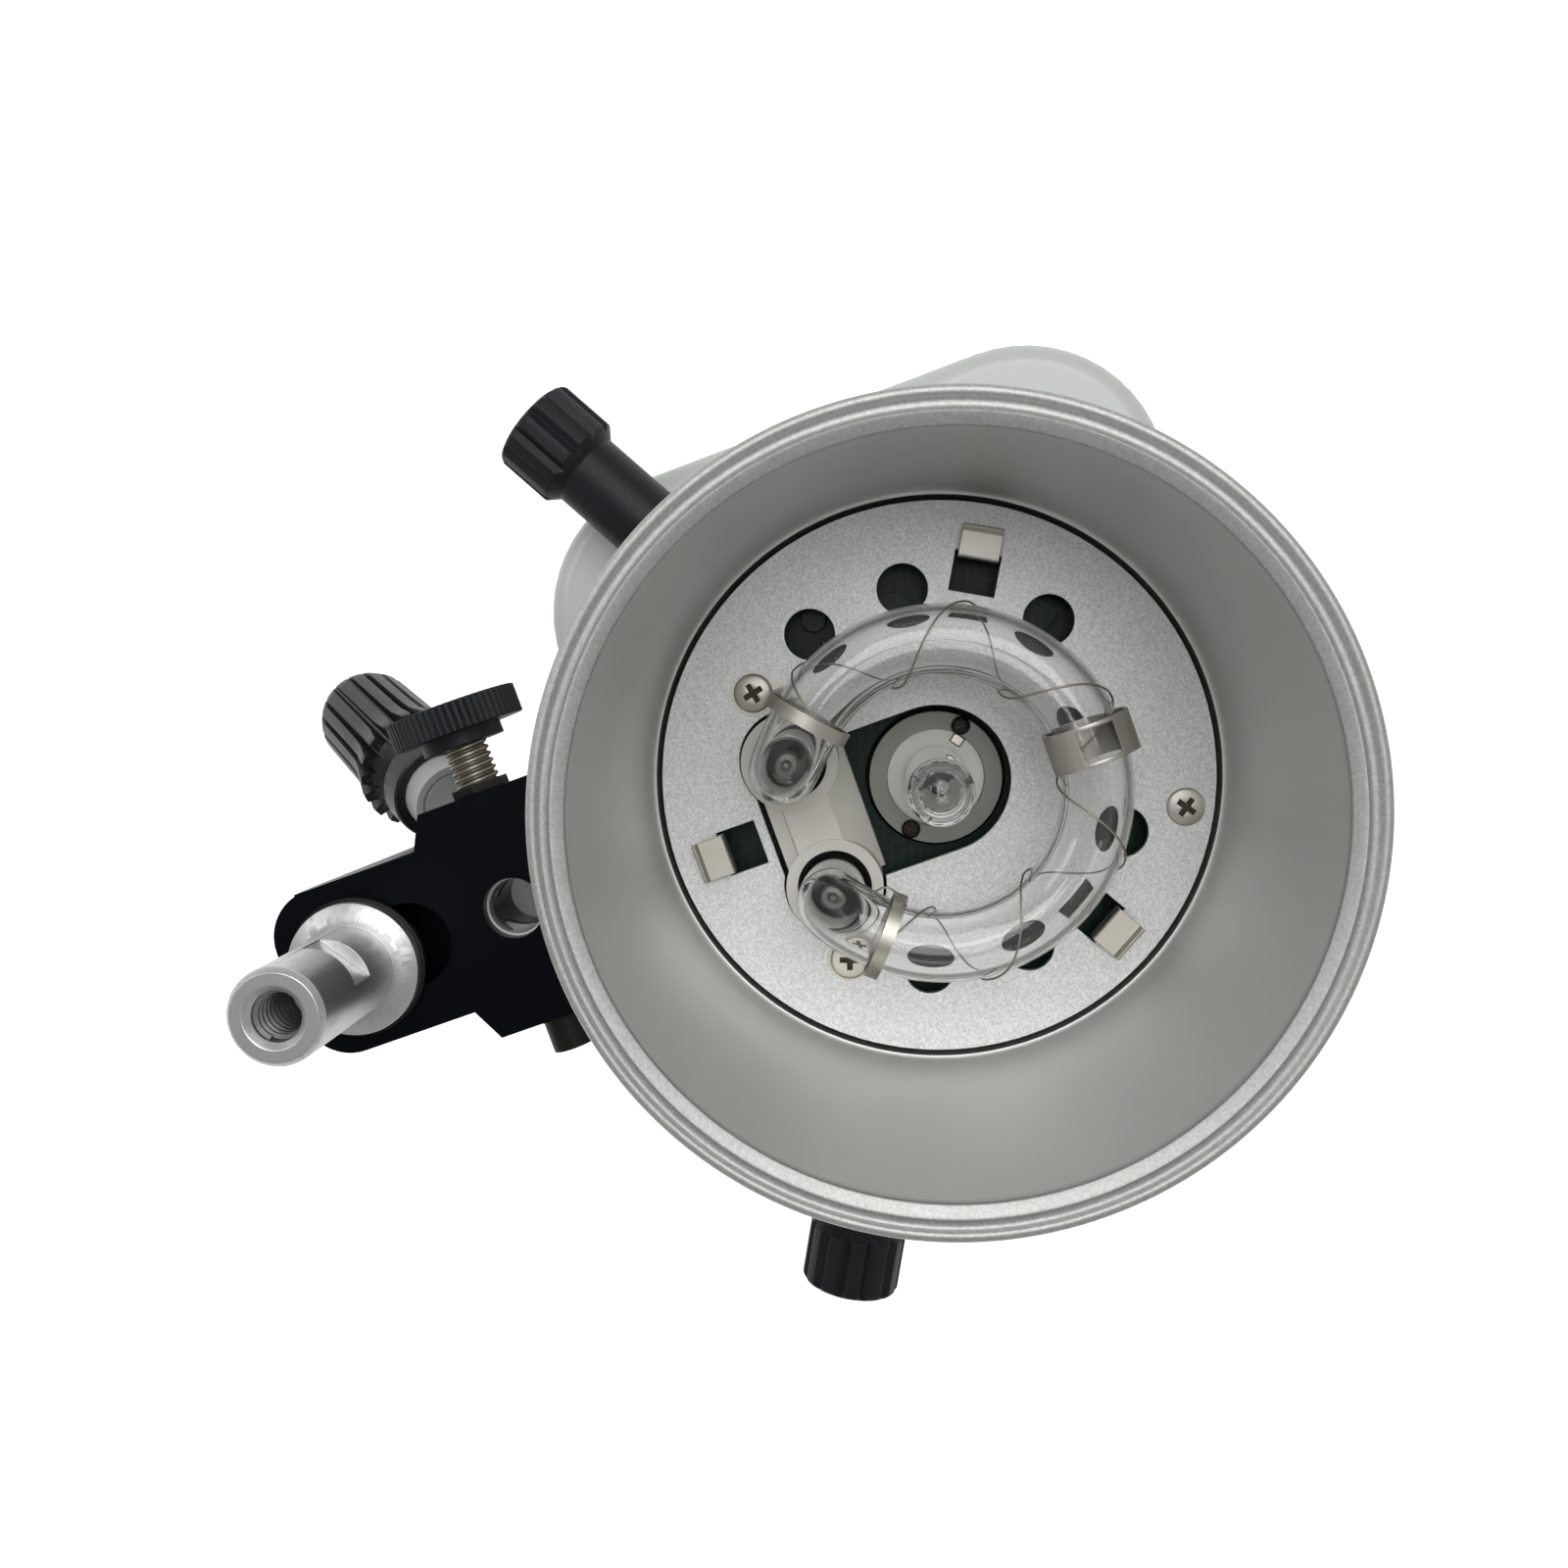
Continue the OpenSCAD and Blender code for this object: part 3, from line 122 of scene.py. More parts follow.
class Finish:
    def __init__(self, name, **constants):
        self.material = bpy.data.materials.new(name)
        self.material.use_nodes = True
        self.tree = self.material.node_tree
        self.tree.nodes.clear()
        self.shader = self.tree.nodes.new("ShaderNodeBsdfPrincipled")
        self.output = self.tree.nodes.new("ShaderNodeOutputMaterial")
        self.tree.links.new(self.shader.outputs[0], self.output.inputs["Surface"])
        self.set(**constants)

    def node(self, kind, settings=None, values=None, out=0):
        made = self.tree.nodes.new("ShaderNode" + kind)
        for key, value in (settings or {}).items():
            setattr(made, key, value)
        for key, value in (values or {}).items():
            self.give(made.inputs[key], value)
        return Socket(self, made.outputs[out])

    def give(self, socket, value):
        if isinstance(value, Socket):
            self.tree.links.new(value.socket, socket)
        elif socket.type == "RGBA" and len(value) == 3:
            socket.default_value = (*value, 1)
        else:
            socket.default_value = value

    def set(self, **values):
        for key, value in values.items():
            self.give(self.shader.inputs[key.replace("_", " ")], value)

    def sum(self, operation, a, b):
        return self.node("Math", {"operation": operation}, {0: a, 1: b})

    def place(self, stretch=(1, 1, 1), turn=(0, 0, 0), origin=(0, 0, 0)):
        here = self.node("TexCoord", out="Object")
        moved = self.node("VectorMath", {"operation": "SUBTRACT"}, {0: here, 1: origin})
        return self.node("Mapping", values={"Vector": moved, "Rotation": turn, "Scale": stretch})

    def noise(self, scale, detail=2.0, **place):
        spread = {"Vector": self.place(**place), "Scale": scale, "Detail": detail, "Roughness": 0.5}
        return self.node("TexNoise", values=spread)

    def flakes(self, scale):
        colours = self.node("TexVoronoi", values={"Vector": self.place(), "Scale": scale}, out=1)
        return self.node("SeparateColor", values={0: colours})

    def mix(self, share, a, b):
        return self.node("Mix", {"data_type": "RGBA"}, {0: share, 6: a, 7: b}, out=2)

    def bump(self, height, strength, distance):
        return self.node("Bump", values={"Height": height, "Strength": strength, "Distance": distance})


# %% [markdown]
# ## Satin aluminium, spun on a lathe
# The bowl is pressed round a former while it spins, so it carries faint rings, and then it gets a
# satin coat that sparkles with tiny grains. The rings are a noise of the distance from the axis, and
# the grains are a fine noise in all directions. Both only tilt the surface slightly, which is what
# makes metal look satin and not grey. The rim has a darker coat in which single flakes show. The
# other metals here are made the same way: a sheet that sparkles, plain sheet and wire, and the
# spigot, which has the rings of its own lathe.

# %% Metals
lip_foot, spigot_at = 281.5, (-6.8, -108.2, 0)


def ringed(finish, count, axis_at=(0, 0, 0)):
    spot = finish.place(origin=axis_at)
    apart = finish.node("SeparateXYZ", values={0: spot}).socket.node.outputs
    x, y, z = (Socket(finish, apart[i]) for i in range(3))
    radius = (x * x + y * y) ** 0.5
    waves = {"W": (radius + z * 0.7) * count, "Scale": 1.0, "Detail": 3.0}
    return finish.node("TexNoise", {"noise_dimensions": "1D"}, waves)


def spun_aluminium():
    f = Finish("spun_aluminium", Metallic=1.0)
    grain, smudge, rings = f.noise(1900, 3), f.noise(24, 4), ringed(f, 1500)
    height = f.node("SeparateXYZ", values={0: f.place()}, out="Z")
    lip = height.above(lip_foot * mm, 0.0012)
    flake = f.flakes(2600)
    plain = f.mix(smudge, (0.80, 0.805, 0.775), (0.87, 0.875, 0.85))
    f.set(Base_Color=f.mix(lip * (0.52 + 0.22 * flake), plain, (0.36, 0.365, 0.35)))
    f.set(Roughness=0.44 + 0.10 * grain + 0.06 * smudge)
    f.set(Normal=f.bump(grain * 0.5 + rings * 0.35 + lip * flake * 0.5, 0.22, 0.00012))
    return f.material


def sparkling_sheet():
    f = Finish("sparkling_sheet", Metallic=1.0)
    grain, flake, smudge = f.noise(2200, 2), f.flakes(3000), f.noise(30, 3)
    plain = f.mix(smudge, (0.84, 0.845, 0.84), (0.90, 0.905, 0.895))
    f.set(Base_Color=f.mix(flake * 0.55 + grain * 0.2, plain, (0.46, 0.465, 0.46)))
    f.set(Roughness=0.46 + 0.16 * grain)
    f.set(Normal=f.bump(grain + flake * 0.6, 0.14, 0.00014))
    return f.material


def plain_metal(name, colour, rough, grit=1200, depth=0.15, stain=0.08):
    f = Finish(name, Metallic=1.0)
    grain, wear = f.noise(grit, 3), f.noise(90, 4)
    dull = tuple(c * (1 - 2.5 * stain) for c in colour)
    f.set(Base_Color=f.mix(wear, dull, colour), Roughness=rough + 0.14 * wear + 0.05 * grain)
    f.set(Normal=f.bump(grain, depth, 0.00008))
    return f.material


def turned_aluminium():
    f = Finish("turned_aluminium", Metallic=1.0)
    rings, wear = ringed(f, 5200, tuple(c * mm for c in spigot_at)), f.noise(160, 4)
    scratch = f.noise(900, 2, stretch=(1, 1, 0.2)).above(0.62, 0.06)
    f.set(Base_Color=f.mix(wear * 0.3 + scratch * 0.4, (0.66, 0.66, 0.655), (0.47, 0.47, 0.465)))
    f.set(Roughness=0.33 + 0.12 * rings + 0.06 * scratch)
    f.set(Normal=f.bump(rings + scratch * 0.3, 0.10, 0.00005))
    return f.material


# %% [markdown]
# ## Paint, plastic, ceramic and glass
# Each of these is a plain Principled surface with a fine texture of its own: paint lies in soft
# waves, moulded plastic copies the grain of its mould, ceramic is matt with a few specks, and glass
# is all transmission. No bump is deeper than four tenths of a millimetre, since real grain isn't
# either. The circuit board gets its tracks from a brick texture that is turned a little.

# %% Paints and plastics
def paint(name, colour, rough=0.28, coat=0.25, peel=0.05, shine=0.5):
    f = Finish(name, Coat_Weight=coat, Coat_Roughness=0.12, Specular_IOR_Level=shine)
    waves, dirt = f.noise(260, 2), f.noise(35, 5)
    worn = tuple(c * 0.93 for c in colour)
    f.set(Base_Color=f.mix(dirt.above(0.5, 0.2), colour, worn), Roughness=rough + 0.10 * dirt)
    f.set(Normal=f.bump(waves, peel, 0.0004))
    return f.material


def moulded(name, colour, rough=0.42, grain_scale=1500, depth=0.3, wear=0.35, shine=0.5):
    f = Finish(name, Specular_IOR_Level=shine)
    grain, rub = f.noise(grain_scale, 4), f.noise(70, 5)
    light = tuple(min(1, c * (1 + wear) + 0.01 * wear) for c in colour)
    f.set(Base_Color=f.mix(rub, colour, light), Roughness=rough + 0.12 * grain - 0.08 * rub)
    f.set(Normal=f.bump(grain, depth, 0.00015))
    return f.material


def ceramic(name, colour, rough=0.45):
    f = Finish(name)
    speck, cloud = f.noise(1400, 2).above(0.68, 0.03), f.noise(120, 4)
    f.set(Base_Color=f.mix(cloud, colour, tuple(c * 0.9 for c in colour)), Roughness=rough + 0.15 * cloud)
    f.set(Normal=f.bump(cloud - speck * 0.5, 0.12, 0.0003))
    return f.material


def clear_glass(name, tint=(1.0, 1.0, 1.0)):
    f = Finish(name, Base_Color=tint, IOR=1.46, Transmission_Weight=1.0)
    haze = f.noise(60, 3)
    f.set(Roughness=0.012 * haze)
    return f.material


def circuit_board():
    f = Finish("circuit_board", Specular_IOR_Level=0.25)
    grid = {"Vector": f.place(turn=(0, 0, 0.4)), "Scale": 130.0, "Mortar Size": 0.06}
    tracks = f.node("TexBrick", {"offset": 0.37}, grid, out=1)
    cloud = f.noise(50, 2)
    mask, copper = (0.002, 0.013, 0.009), (0.004, 0.022, 0.014)
    f.set(Base_Color=f.mix(tracks, mask, copper), Roughness=0.35 + 0.1 * cloud)
    f.set(Normal=f.bump(tracks, 0.3, 0.0001))
    return f.material


# %% [markdown]
# ## One finish for each slot
# Every node of the solid model names a material slot, and each slot gets its finish here. Colours
# are linear values, so black plastic lies near 0.01 and white ceramic near 0.85. All of them stand in
# one list because colours are judged against each other: the lamp has nine blacks, and they come
# from plastic, paint and metal.

# %% Finish every node
finishes = {
    "case_paint": paint("case_paint", (0.60, 0.62, 0.60)),
    "arm_grey": paint("arm_grey", (0.54, 0.555, 0.54), rough=0.34, coat=0.1),
    "panel_black": moulded("panel_black", (0.020, 0.021, 0.023), depth=0.45),
    "ring_black": paint("ring_black", (0.010, 0.011, 0.013), rough=0.45, coat=0.0, peel=0.12),
    "tray_steel": plain_metal("tray_steel", (0.55, 0.55, 0.52), 0.32),
    "capacitor": moulded("capacitor", (0.015, 0.022, 0.06), rough=0.25, depth=0.05),
    "board_green": circuit_board(),
    "coil_black": moulded("coil_black", (0.02, 0.02, 0.02)),
    "plate_silver": sparkling_sheet(),
    "nickel": plain_metal("nickel", (0.66, 0.63, 0.565), 0.34),
    "ivory_ceramic": ceramic("ivory_ceramic", (0.80, 0.78, 0.715)),
    "grey_ceramic": ceramic("grey_ceramic", (0.33, 0.335, 0.30)),
    "cream_ceramic": ceramic("cream_ceramic", (0.86, 0.85, 0.79)),
    # near-black ceramic for the walls deep in the socket's bores, painted shade
    "socket_dark": ceramic("socket_dark", (0.030, 0.029, 0.027)),
    # matt dark brown for the screws' cross recesses, painted shade
    "recess_shade_brown": moulded("recess_shade_brown", (0.075, 0.055, 0.042), rough=0.65, shine=0.2),
    "tube_glass": clear_glass("tube_glass"),
    "bulb_glass": clear_glass("bulb_glass"),
    "thread_shade": plain_metal("thread_shade", (0.36, 0.355, 0.345), 0.30),
    "electrode": plain_metal("electrode", (0.32, 0.31, 0.29), 0.4),
    "wire": plain_metal("wire", (0.46, 0.41, 0.34), 0.35),
    "reflector_satin": spun_aluminium(),
    "knob_black": moulded("knob_black", (0.006, 0.0075, 0.010), rough=0.42, depth=0.5, shine=0.28),
    "grip_black": moulded("grip_black", (0.007, 0.007, 0.007), rough=0.36, depth=0.25, shine=0.45),
    "bracket_black": paint("bracket_black", (0.002, 0.0027, 0.0045), coat=0.0, peel=0.06, shine=0.08),
    "screw_black": plain_metal("screw_black", (0.035, 0.034, 0.032), 0.38),
    "dull_nickel": plain_metal("dull_nickel", (0.40, 0.37, 0.315), 0.32, stain=0.14),
    "spigot_alu": turned_aluminium(),
    "block_grey": plain_metal("block_grey", (0.80, 0.81, 0.80), 0.46, grit=700, depth=0.2),
    "control_black": moulded("control_black", (0.014, 0.014, 0.016)),
    "rocker_red": moulded("rocker_red", (0.32, 0.012, 0.010), rough=0.22, depth=0.05),
    "button_red": moulded("button_red", (0.42, 0.018, 0.012), rough=0.22, depth=0.05),
    "lens_amber": moulded("lens_amber", (0.55, 0.16, 0.015), rough=0.10, depth=0.03),
    "lens_dark": moulded("lens_dark", (0.10, 0.006, 0.006), rough=0.10, depth=0.03),
    "inlet_black": moulded("inlet_black", (0.012, 0.012, 0.012)),
    "brass_pin": plain_metal("brass_pin", (0.70, 0.66, 0.50), 0.22),
}
for name, node in nodes.items():
    node.data.materials.clear()
    node.data.materials.append(finishes[slot_of[name]])
print("finishes:", len(finishes))

# %% [markdown]
# ## Light and floor
# The photograph was cut out on white and lit broadly from above. The floor and the sky look white
# to the camera, and the floor also glows in glass and metal, while the object itself is lit by a
# grey sky and two soft lamps, so colours render about as written. The key lamp hangs high above the
# bowl, towards the top of the picture, and a weak one like a window stands to the picture's left.

# %% Sky, floor and lamps
world = bpy.data.worlds.new("sky")
bpy.context.scene.world = world
world.use_nodes = True
sky = world.node_tree
sky_light = sky.nodes["Background"]
sky_kinds = ("LightPath", "Mix", "TexCoord", "SeparateXYZ", "MapRange")
sky_path, sky_level, sky_way, sky_parts, sky_fade = (sky.nodes.new("ShaderNode" + k) for k in sky_kinds)
for name, value in (("From Min", 0.55), ("From Max", 0.97), ("To Min", 0.40), ("To Max", 0.26)):
    sky_fade.inputs[name].default_value = value
sky_level.inputs["B"].default_value = 1.0
sky_light.inputs["Color"].default_value = (1, 1, 1, 1)
for start, end in ((sky_way.outputs["Generated"], sky_parts.inputs[0]),
                   (sky_parts.outputs["Z"], sky_fade.inputs["Value"]),
                   (sky_fade.outputs["Result"], sky_level.inputs["A"]),
                   (sky_path.outputs["Is Camera Ray"], sky_level.inputs["Factor"]),
                   (sky_level.outputs["Result"], sky_light.inputs["Strength"])):
    sky.links.new(start, end)

floor_form = bmesh.new()
bmesh.ops.create_grid(floor_form, x_segments=1, y_segments=1, size=6)
floor_mesh = bpy.data.meshes.new("floor")
floor_form.to_mesh(floor_mesh)
floor = bpy.data.objects.new("floor", floor_mesh)
bpy.context.scene.collection.objects.link(floor)
floor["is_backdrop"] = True
white = Finish("floor_white", Base_Color=(0.8, 0.8, 0.8), Roughness=0.9)
rays = white.node("LightPath").socket.node.outputs
seen, shiny, clear = (Socket(white, rays["Is " + k + " Ray"]) for k in ("Camera", "Glossy", "Transmission"))
glow, share_in_metal = 0.75, 0.6
white.set(Emission_Color=(1, 1, 1), Emission_Strength=glow * (seen + shiny * share_in_metal + clear))
floor_mesh.materials.append(white.material)


def lamp(name, at, aim, size, power):
    data = bpy.data.lights.new(name, "AREA")
    data.energy, data.size = power, size
    made = bpy.data.objects.new(name, data)
    turn = (at - aim).to_track_quat("Z", "Y").to_matrix().to_4x4()
    made.matrix_world = Matrix.Translation(at) @ turn
    bpy.context.scene.collection.objects.link(made)
    print(name, "lamp:", power, "W from", round((at - aim).length, 2), "m")


bowl_heart = Vector((0, 0, 0.23))
key_at = bowl_heart + up * 0.52 + right * 0.10 + Vector((0, 0, 1.20))
window_at = bowl_heart - right * 1.0 + up * 0.45 + Vector((0, 0, 0.70))
lamp("key", key_at, bowl_heart, size=1.0, power=8.8)
lamp("window", window_at, bowl_heart, size=0.5, power=1.5)
bpy.context.scene.view_settings.view_transform = "Standard"

# %% [markdown]
# ## From a solid to a piece that looks made
# A solid model has knife edges, and nothing real has. Each rigid node's mesh is copied, its
# triangles are merged into flat faces, and every sharp edge gets a narrow bevel that catches the
# light. The copy stands for the node. Surfaces are shaded smooth up to an angle, so round things
# look round and flat things flat.


# %% Finish a piece, and soften a node
def piece(name, form, node, finish=None, crisp=32, stands_for=(), hollow=False):
    bmesh.ops.remove_doubles(form, verts=form.verts, dist=1e-6)
    if not hollow:
        bmesh.ops.recalc_face_normals(form, faces=form.faces)
    mesh = bpy.data.meshes.new(name)
    form.to_mesh(mesh)
    form.free()
    mesh.shade_smooth()
    mesh.set_sharp_from_angle(angle=math.radians(crisp))
    mesh.materials.append(finishes[finish or slot_of[node]])
    made = bpy.data.objects.new(name, mesh)
    bpy.context.scene.collection.objects.link(made)
    even = made.modifiers.new("even_normals", "WEIGHTED_NORMAL")
    even.keep_sharp = True
    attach(made, body_of[node])
    if stands_for:
        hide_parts(*stands_for)
    print(name, len(mesh.polygons), "faces")
    return made


def copied(node):
    form = bmesh.new()
    form.from_mesh(nodes[node].data)
    bmesh.ops.remove_doubles(form, verts=form.verts, dist=1e-6)
    bmesh.ops.dissolve_limit(form, angle_limit=math.radians(0.6), verts=form.verts, edges=form.edges)
    return form


def bevel(form, edges, width, segments=2):
    bmesh.ops.bevel(form, geom=edges, offset=width * mm, offset_type="OFFSET", segments=segments,
                    profile=0.5, affect="EDGES", material=-1, clamp_overlap=True)


def creases(form, angle=38):
    return [e for e in form.edges if len(e.link_faces) == 2 and e.calc_face_angle(0) > math.radians(angle)]


def soften(*names, width=0.25, segments=2, sharp=38):
    for name in names:
        form = copied(name)
        bevel(form, creases(form, sharp), width, segments)
        piece(name + "_made", form, name, stands_for=[name])


# %% [markdown]
# ## The bowl reflector
# The bowl is one sheet: a collar that slides into the lamp, a flare, a nearly straight wall and a rim
# that is pressed into a bevel, a groove and a rolled bead. A profile spun round the axis gives all of
# it, as the lathe does.

# %% Spin the bowl
def spun(profile, steps=96, closed=False):
    form = bmesh.new()
    line = [form.verts.new((r * mm, 0, z * mm)) for r, z in profile]
    edges = [form.edges.new(pair) for pair in zip(line, line[1:] + (line[:1] if closed else []))]
    bmesh.ops.spin(form, geom=line + edges, cent=(0, 0, 0), axis=(0, 0, 1), angle=2 * math.pi,
                   steps=steps, use_merge=True)
    bmesh.ops.remove_doubles(form, verts=form.verts, dist=1e-6)
    return form


plate_top, throat_r = 209.5, 55.7
flare_r, flare_height, belly_r, belly_height = 3.2, 17, 0.6, 30


def bowl_wall(height):
    flare = min(1, height / flare_height)
    swell = min(90, max(0, 90 * (height - flare_height) / belly_height))
    return throat_r + flare_r * math.sqrt(1 - (1 - flare) ** 2) + belly_r * math.sin(math.radians(swell))


climb = [0, 0.15, 0.6, 1.5, 3, 5, 7.5, 10.5, 14, 17, 20, 24, 28, 32, 37, 42, 48, 56, 64, 71]
inside = [(bowl_wall(h), plate_top + h) for h in climb]
lip = [(59.45, 281.8), (59.2, 282.8), (58.95, 283.4), (58.95, 283.8), (59.2, 284.15), (60.7, 284.85),
       (61.1, 284.9), (61.35, 284.7), (61.6, 284.2), (62.0, 284.0), (62.6, 284.0), (63.0, 284.2),
       (63.3, 284.7), (63.6, 284.95), (64.1, 285.0), (64.6, 284.8), (64.9, 284.4), (65.0, 283.8),
       (64.95, 283.1), (64.7, 282.6), (64.2, 282.3), (61.8, 282.2)]
sheet, collar_r, collar_foot, soft = 1.5, 57.2, plate_top - 15, 0.2
outside = [(bowl_wall(h) + sheet, plate_top + h - 0.2) for h in reversed(climb[3:])]
collar = [(collar_r, plate_top + 1.2), (collar_r, collar_foot + soft), (collar_r - soft, collar_foot),
          (throat_r + soft, collar_foot), (throat_r, collar_foot + soft)]
bowl = spun(inside + lip + outside + collar, steps=192, closed=True)
piece("bowl", bowl, "reflector", crisp=40, stands_for=["reflector"])

# %% [markdown]
# ## Rigid pieces with softened edges
# The case, the plate, the knobs and the controls already have their shapes, so they only need their
# edges broken. The width of each bevel follows the part: broad on mouldings and castings, narrow on
# sheet metal and small screws.

# %% Break the edges
soften("case_shell", "front_cover", "rear_frame", "rear_panel", width=0.4, segments=3)
soften("mount_ring", "tilt_arm", "clamp_boss", "umbrella_block", width=0.5, segments=3)
soften("face_plate", "dome_clips", "plate_pillars", "chassis", "thumb_nut", "spigot_washer", width=0.15)
soften("lamp_holder", "lock_knob_left", "lock_knob_right", width=0.35, segments=3)
soften("arm_screws", "panel_screws", "block_screw", "tilt_axle", "spigot_bolt", width=0.12)
soften("power_dial", "lamp_dial", "mains_rocker", "cell_rocker", "test_button", width=0.3)
soften("sync_jack", "power_inlet", "inlet_pins", "ready_lamp", "trigger_coil", "capacitors", width=0.3)
soften("tilt_knob", "thumb_wheel", width=0.2)

# %% [markdown]
# ## Screws with a cross in their heads
# A screw head is a low dome over a cone. Two tapered blocks are joined into a cross and cut out, which
# leaves the recess that a screwdriver fits. A boolean modifier does the cutting on two spare objects,
# which are deleted afterwards, so that only the finished screw stays in the scene. The recess is
# coloured a matt dark brown, which is painted shade.

# %% Turn the screws
def out_of(angle):
    turn = math.radians(angle)
    return Vector((-math.sin(turn), math.cos(turn), 0))


def placed(form, at, towards=(0, 0, 1)):
    turn = Vector((0, 0, 1)).rotation_difference(Vector(towards)).to_matrix().to_4x4()
    bmesh.ops.transform(form, matrix=Matrix.Translation(Vector(at) * mm) @ turn, verts=form.verts)
    return form


def tied(form):
    mesh = bpy.data.meshes.new("tied")
    form.to_mesh(mesh)
    form.free()
    made = bpy.data.objects.new("tied", mesh)
    bpy.context.scene.collection.objects.link(made)
    return made


def carved(form, cutter, operation="DIFFERENCE"):
    body, tool = tied(form), tied(cutter)
    cut = body.modifiers.new("cut", "BOOLEAN")
    cut.object, cut.operation, cut.solver = tool, operation, "EXACT"
    result = bmesh.new()
    result.from_object(body, bpy.context.evaluated_depsgraph_get())
    for spare in (body, tool):
        mesh = spare.data
        bpy.data.objects.remove(spare)
        bpy.data.meshes.remove(mesh)
    return result


def block(size, at=(0, 0, 0), turn=0.0, taper=1.0):
    form = bmesh.new()
    bmesh.ops.create_cube(form, size=1)
    for corner in form.verts:
        if corner.co.z < 0:
            corner.co.x, corner.co.y = corner.co.x * taper, corner.co.y * taper
    bmesh.ops.transform(form, matrix=Matrix.Diagonal((*(Vector(size) * mm), 1)), verts=form.verts)
    stance = Matrix.Translation(Vector(at) * mm) @ Matrix.Rotation(math.radians(turn), 4, "Z")
    bmesh.ops.transform(form, matrix=stance, verts=form.verts)
    return form


def cross_head(name, node, at, head, rise, shank, turn, stands_for=()):
    cone = head * 0.42
    tail = -cone - shank * 3
    profile = [(0, rise), (head * 0.55, rise * 0.93), (head * 0.86, rise * 0.62), (head * 0.97, rise * 0.25),
               (head, 0), (shank, -cone), (shank, tail), (0, tail)]
    arm = (head * 1.5, head * 0.42, rise * 2)
    bars = [block(arm, (0, 0, rise * 1.08), turn + quarter, taper=0.5) for quarter in (0, 90)]
    form = carved(spun(profile, 56), carved(*bars, "UNION"))
    edges = [e for e in creases(form, 40) if e.verts[0].co.z > -head * 0.2 * mm]
    bevel(form, edges, head * 0.03, 2)
    # Faces inside the cross recess take the matt dark brown, which is painted shade.
    for face in form.faces:
        centre = face.calc_center_median() / mm
        if centre.xy.length < head * 0.6 and -head * 0.5 < centre.z < rise * 0.85:
            face.material_index = 1
    made = piece(name, placed(form, at), node, stands_for=stands_for)
    made.data.materials.append(finishes["recess_shade_brown"])


plate_screws = [("left", 135, 40, 0.5, 12), ("right", -135, 40, 0.5, 70), ("top", -26, 49, 0, 35)]
for label, angle, radius, lift, turn in plate_screws:
    spot = out_of(angle) * radius + Vector((0, 0, plate_top + lift))
    cross_head("plate_screw_" + label, "plate_screws", spot, head=3.8, rise=0.75, shank=1.6, turn=turn,
               stands_for=["plate_screws"] if label == "top" else ())
holder_screw_ring, holder_top = 11.5, 205.3
for label, angle in (("high", 45), ("low", 225)):
    spot = out_of(angle) * holder_screw_ring + Vector((0, 0, holder_top))
    cross_head("holder_screw_" + label, "holder_screws", spot, head=1.9, rise=0.7, shank=0.85, turn=angle,
               stands_for=["holder_screws"] if label == "low" else ())

# %% [markdown]
# ## The spigot with its flat
# The spigot is turned from a bar of aluminium, and a mill then cuts a flat across it, on which the
# screw of a clamp bears. Here a block plays the mill: it is taken away from the solid with a
# boolean. The bevel comes last, so that it also runs round the edges that the mill left.

# %% Turn the spigot and mill its flat
flat_turn, cutter_out, flat_height = 35, 8.4, 268.7
cutter_at = Vector(spigot_at) + out_of(flat_turn) * cutter_out + Vector((0, 0, flat_height))
spigot_form = carved(copied("spigot"), block((24, 5, 7.5), cutter_at, flat_turn))
bevel(spigot_form, creases(spigot_form), width=0.25, segments=3)
piece("spigot_made", spigot_form, "spigot", stands_for=["spigot"])

# %% [markdown]
# ## The ring of glass
# The flash tube starts as one circle in its socket. It is drawn up the leg, spun through a quarter
# bend, spun round the lamp's axis, bent down again and drawn into the second bore. The bore of the
# glass is the same route with a smaller circle and its faces turned round, so that light bends at
# both walls as it does in real glass.

# %% Draw the flash tube
ring_radius, ring_height, bend_radius, ring_end = 27.5, 239.5, 9.5, 134


def only(kind, found):
    return [g for g in found if isinstance(g, kind)]


def leg_foot(side, z):
    onward = Vector((0, 0, 1)).cross(out_of(side * ring_end)) * side
    return out_of(side * ring_end) * ring_radius + onward * bend_radius + Vector((0, 0, z))


def glass_route(radius, floor, sides=40):
    form = bmesh.new()
    bmesh.ops.create_circle(form, cap_ends=True, segments=sides, radius=radius * mm)
    bmesh.ops.translate(form, verts=form.verts, vec=leg_foot(1, floor) * mm)
    front = list(form.edges)

    def drawn(edges, rise):
        grown = bmesh.ops.extrude_edge_only(form, edges=edges)["geom"]
        bmesh.ops.translate(form, verts=only(bmesh.types.BMVert, grown), vec=(0, 0, rise * mm))
        return [e for e in only(bmesh.types.BMEdge, grown) if e.is_boundary]

    def swung(edges, centre, axis, angle, steps):
        ends = list({v for e in edges for v in e.verts})
        grown = bmesh.ops.spin(form, geom=ends + edges, cent=Vector(centre) * mm, axis=axis,
                               angle=math.radians(angle), steps=steps)
        return only(bmesh.types.BMEdge, grown["geom_last"])

    bend_z = Vector((0, 0, ring_height - bend_radius))
    front = drawn(front, ring_height - bend_radius - floor)
    up_bend, down_bend = out_of(ring_end), out_of(-ring_end)
    front = swung(front, up_bend * ring_radius + bend_z, up_bend, angle=90, steps=14)
    front = swung(front, (0, 0, 0), (0, 0, 1), angle=-2 * ring_end, steps=100)
    front = swung(front, down_bend * ring_radius + bend_z, down_bend, angle=90, steps=14)
    front = drawn(front, floor - ring_height + bend_radius)
    bmesh.ops.contextual_create(form, geom=front)
    bmesh.ops.recalc_face_normals(form, faces=form.faces)
    return form


def lined(outer, inner):
    bmesh.ops.reverse_faces(inner, faces=inner.faces)
    bore = bpy.data.meshes.new("bore")
    inner.to_mesh(bore)
    inner.free()
    outer.from_mesh(bore)
    bpy.data.meshes.remove(bore)
    return outer


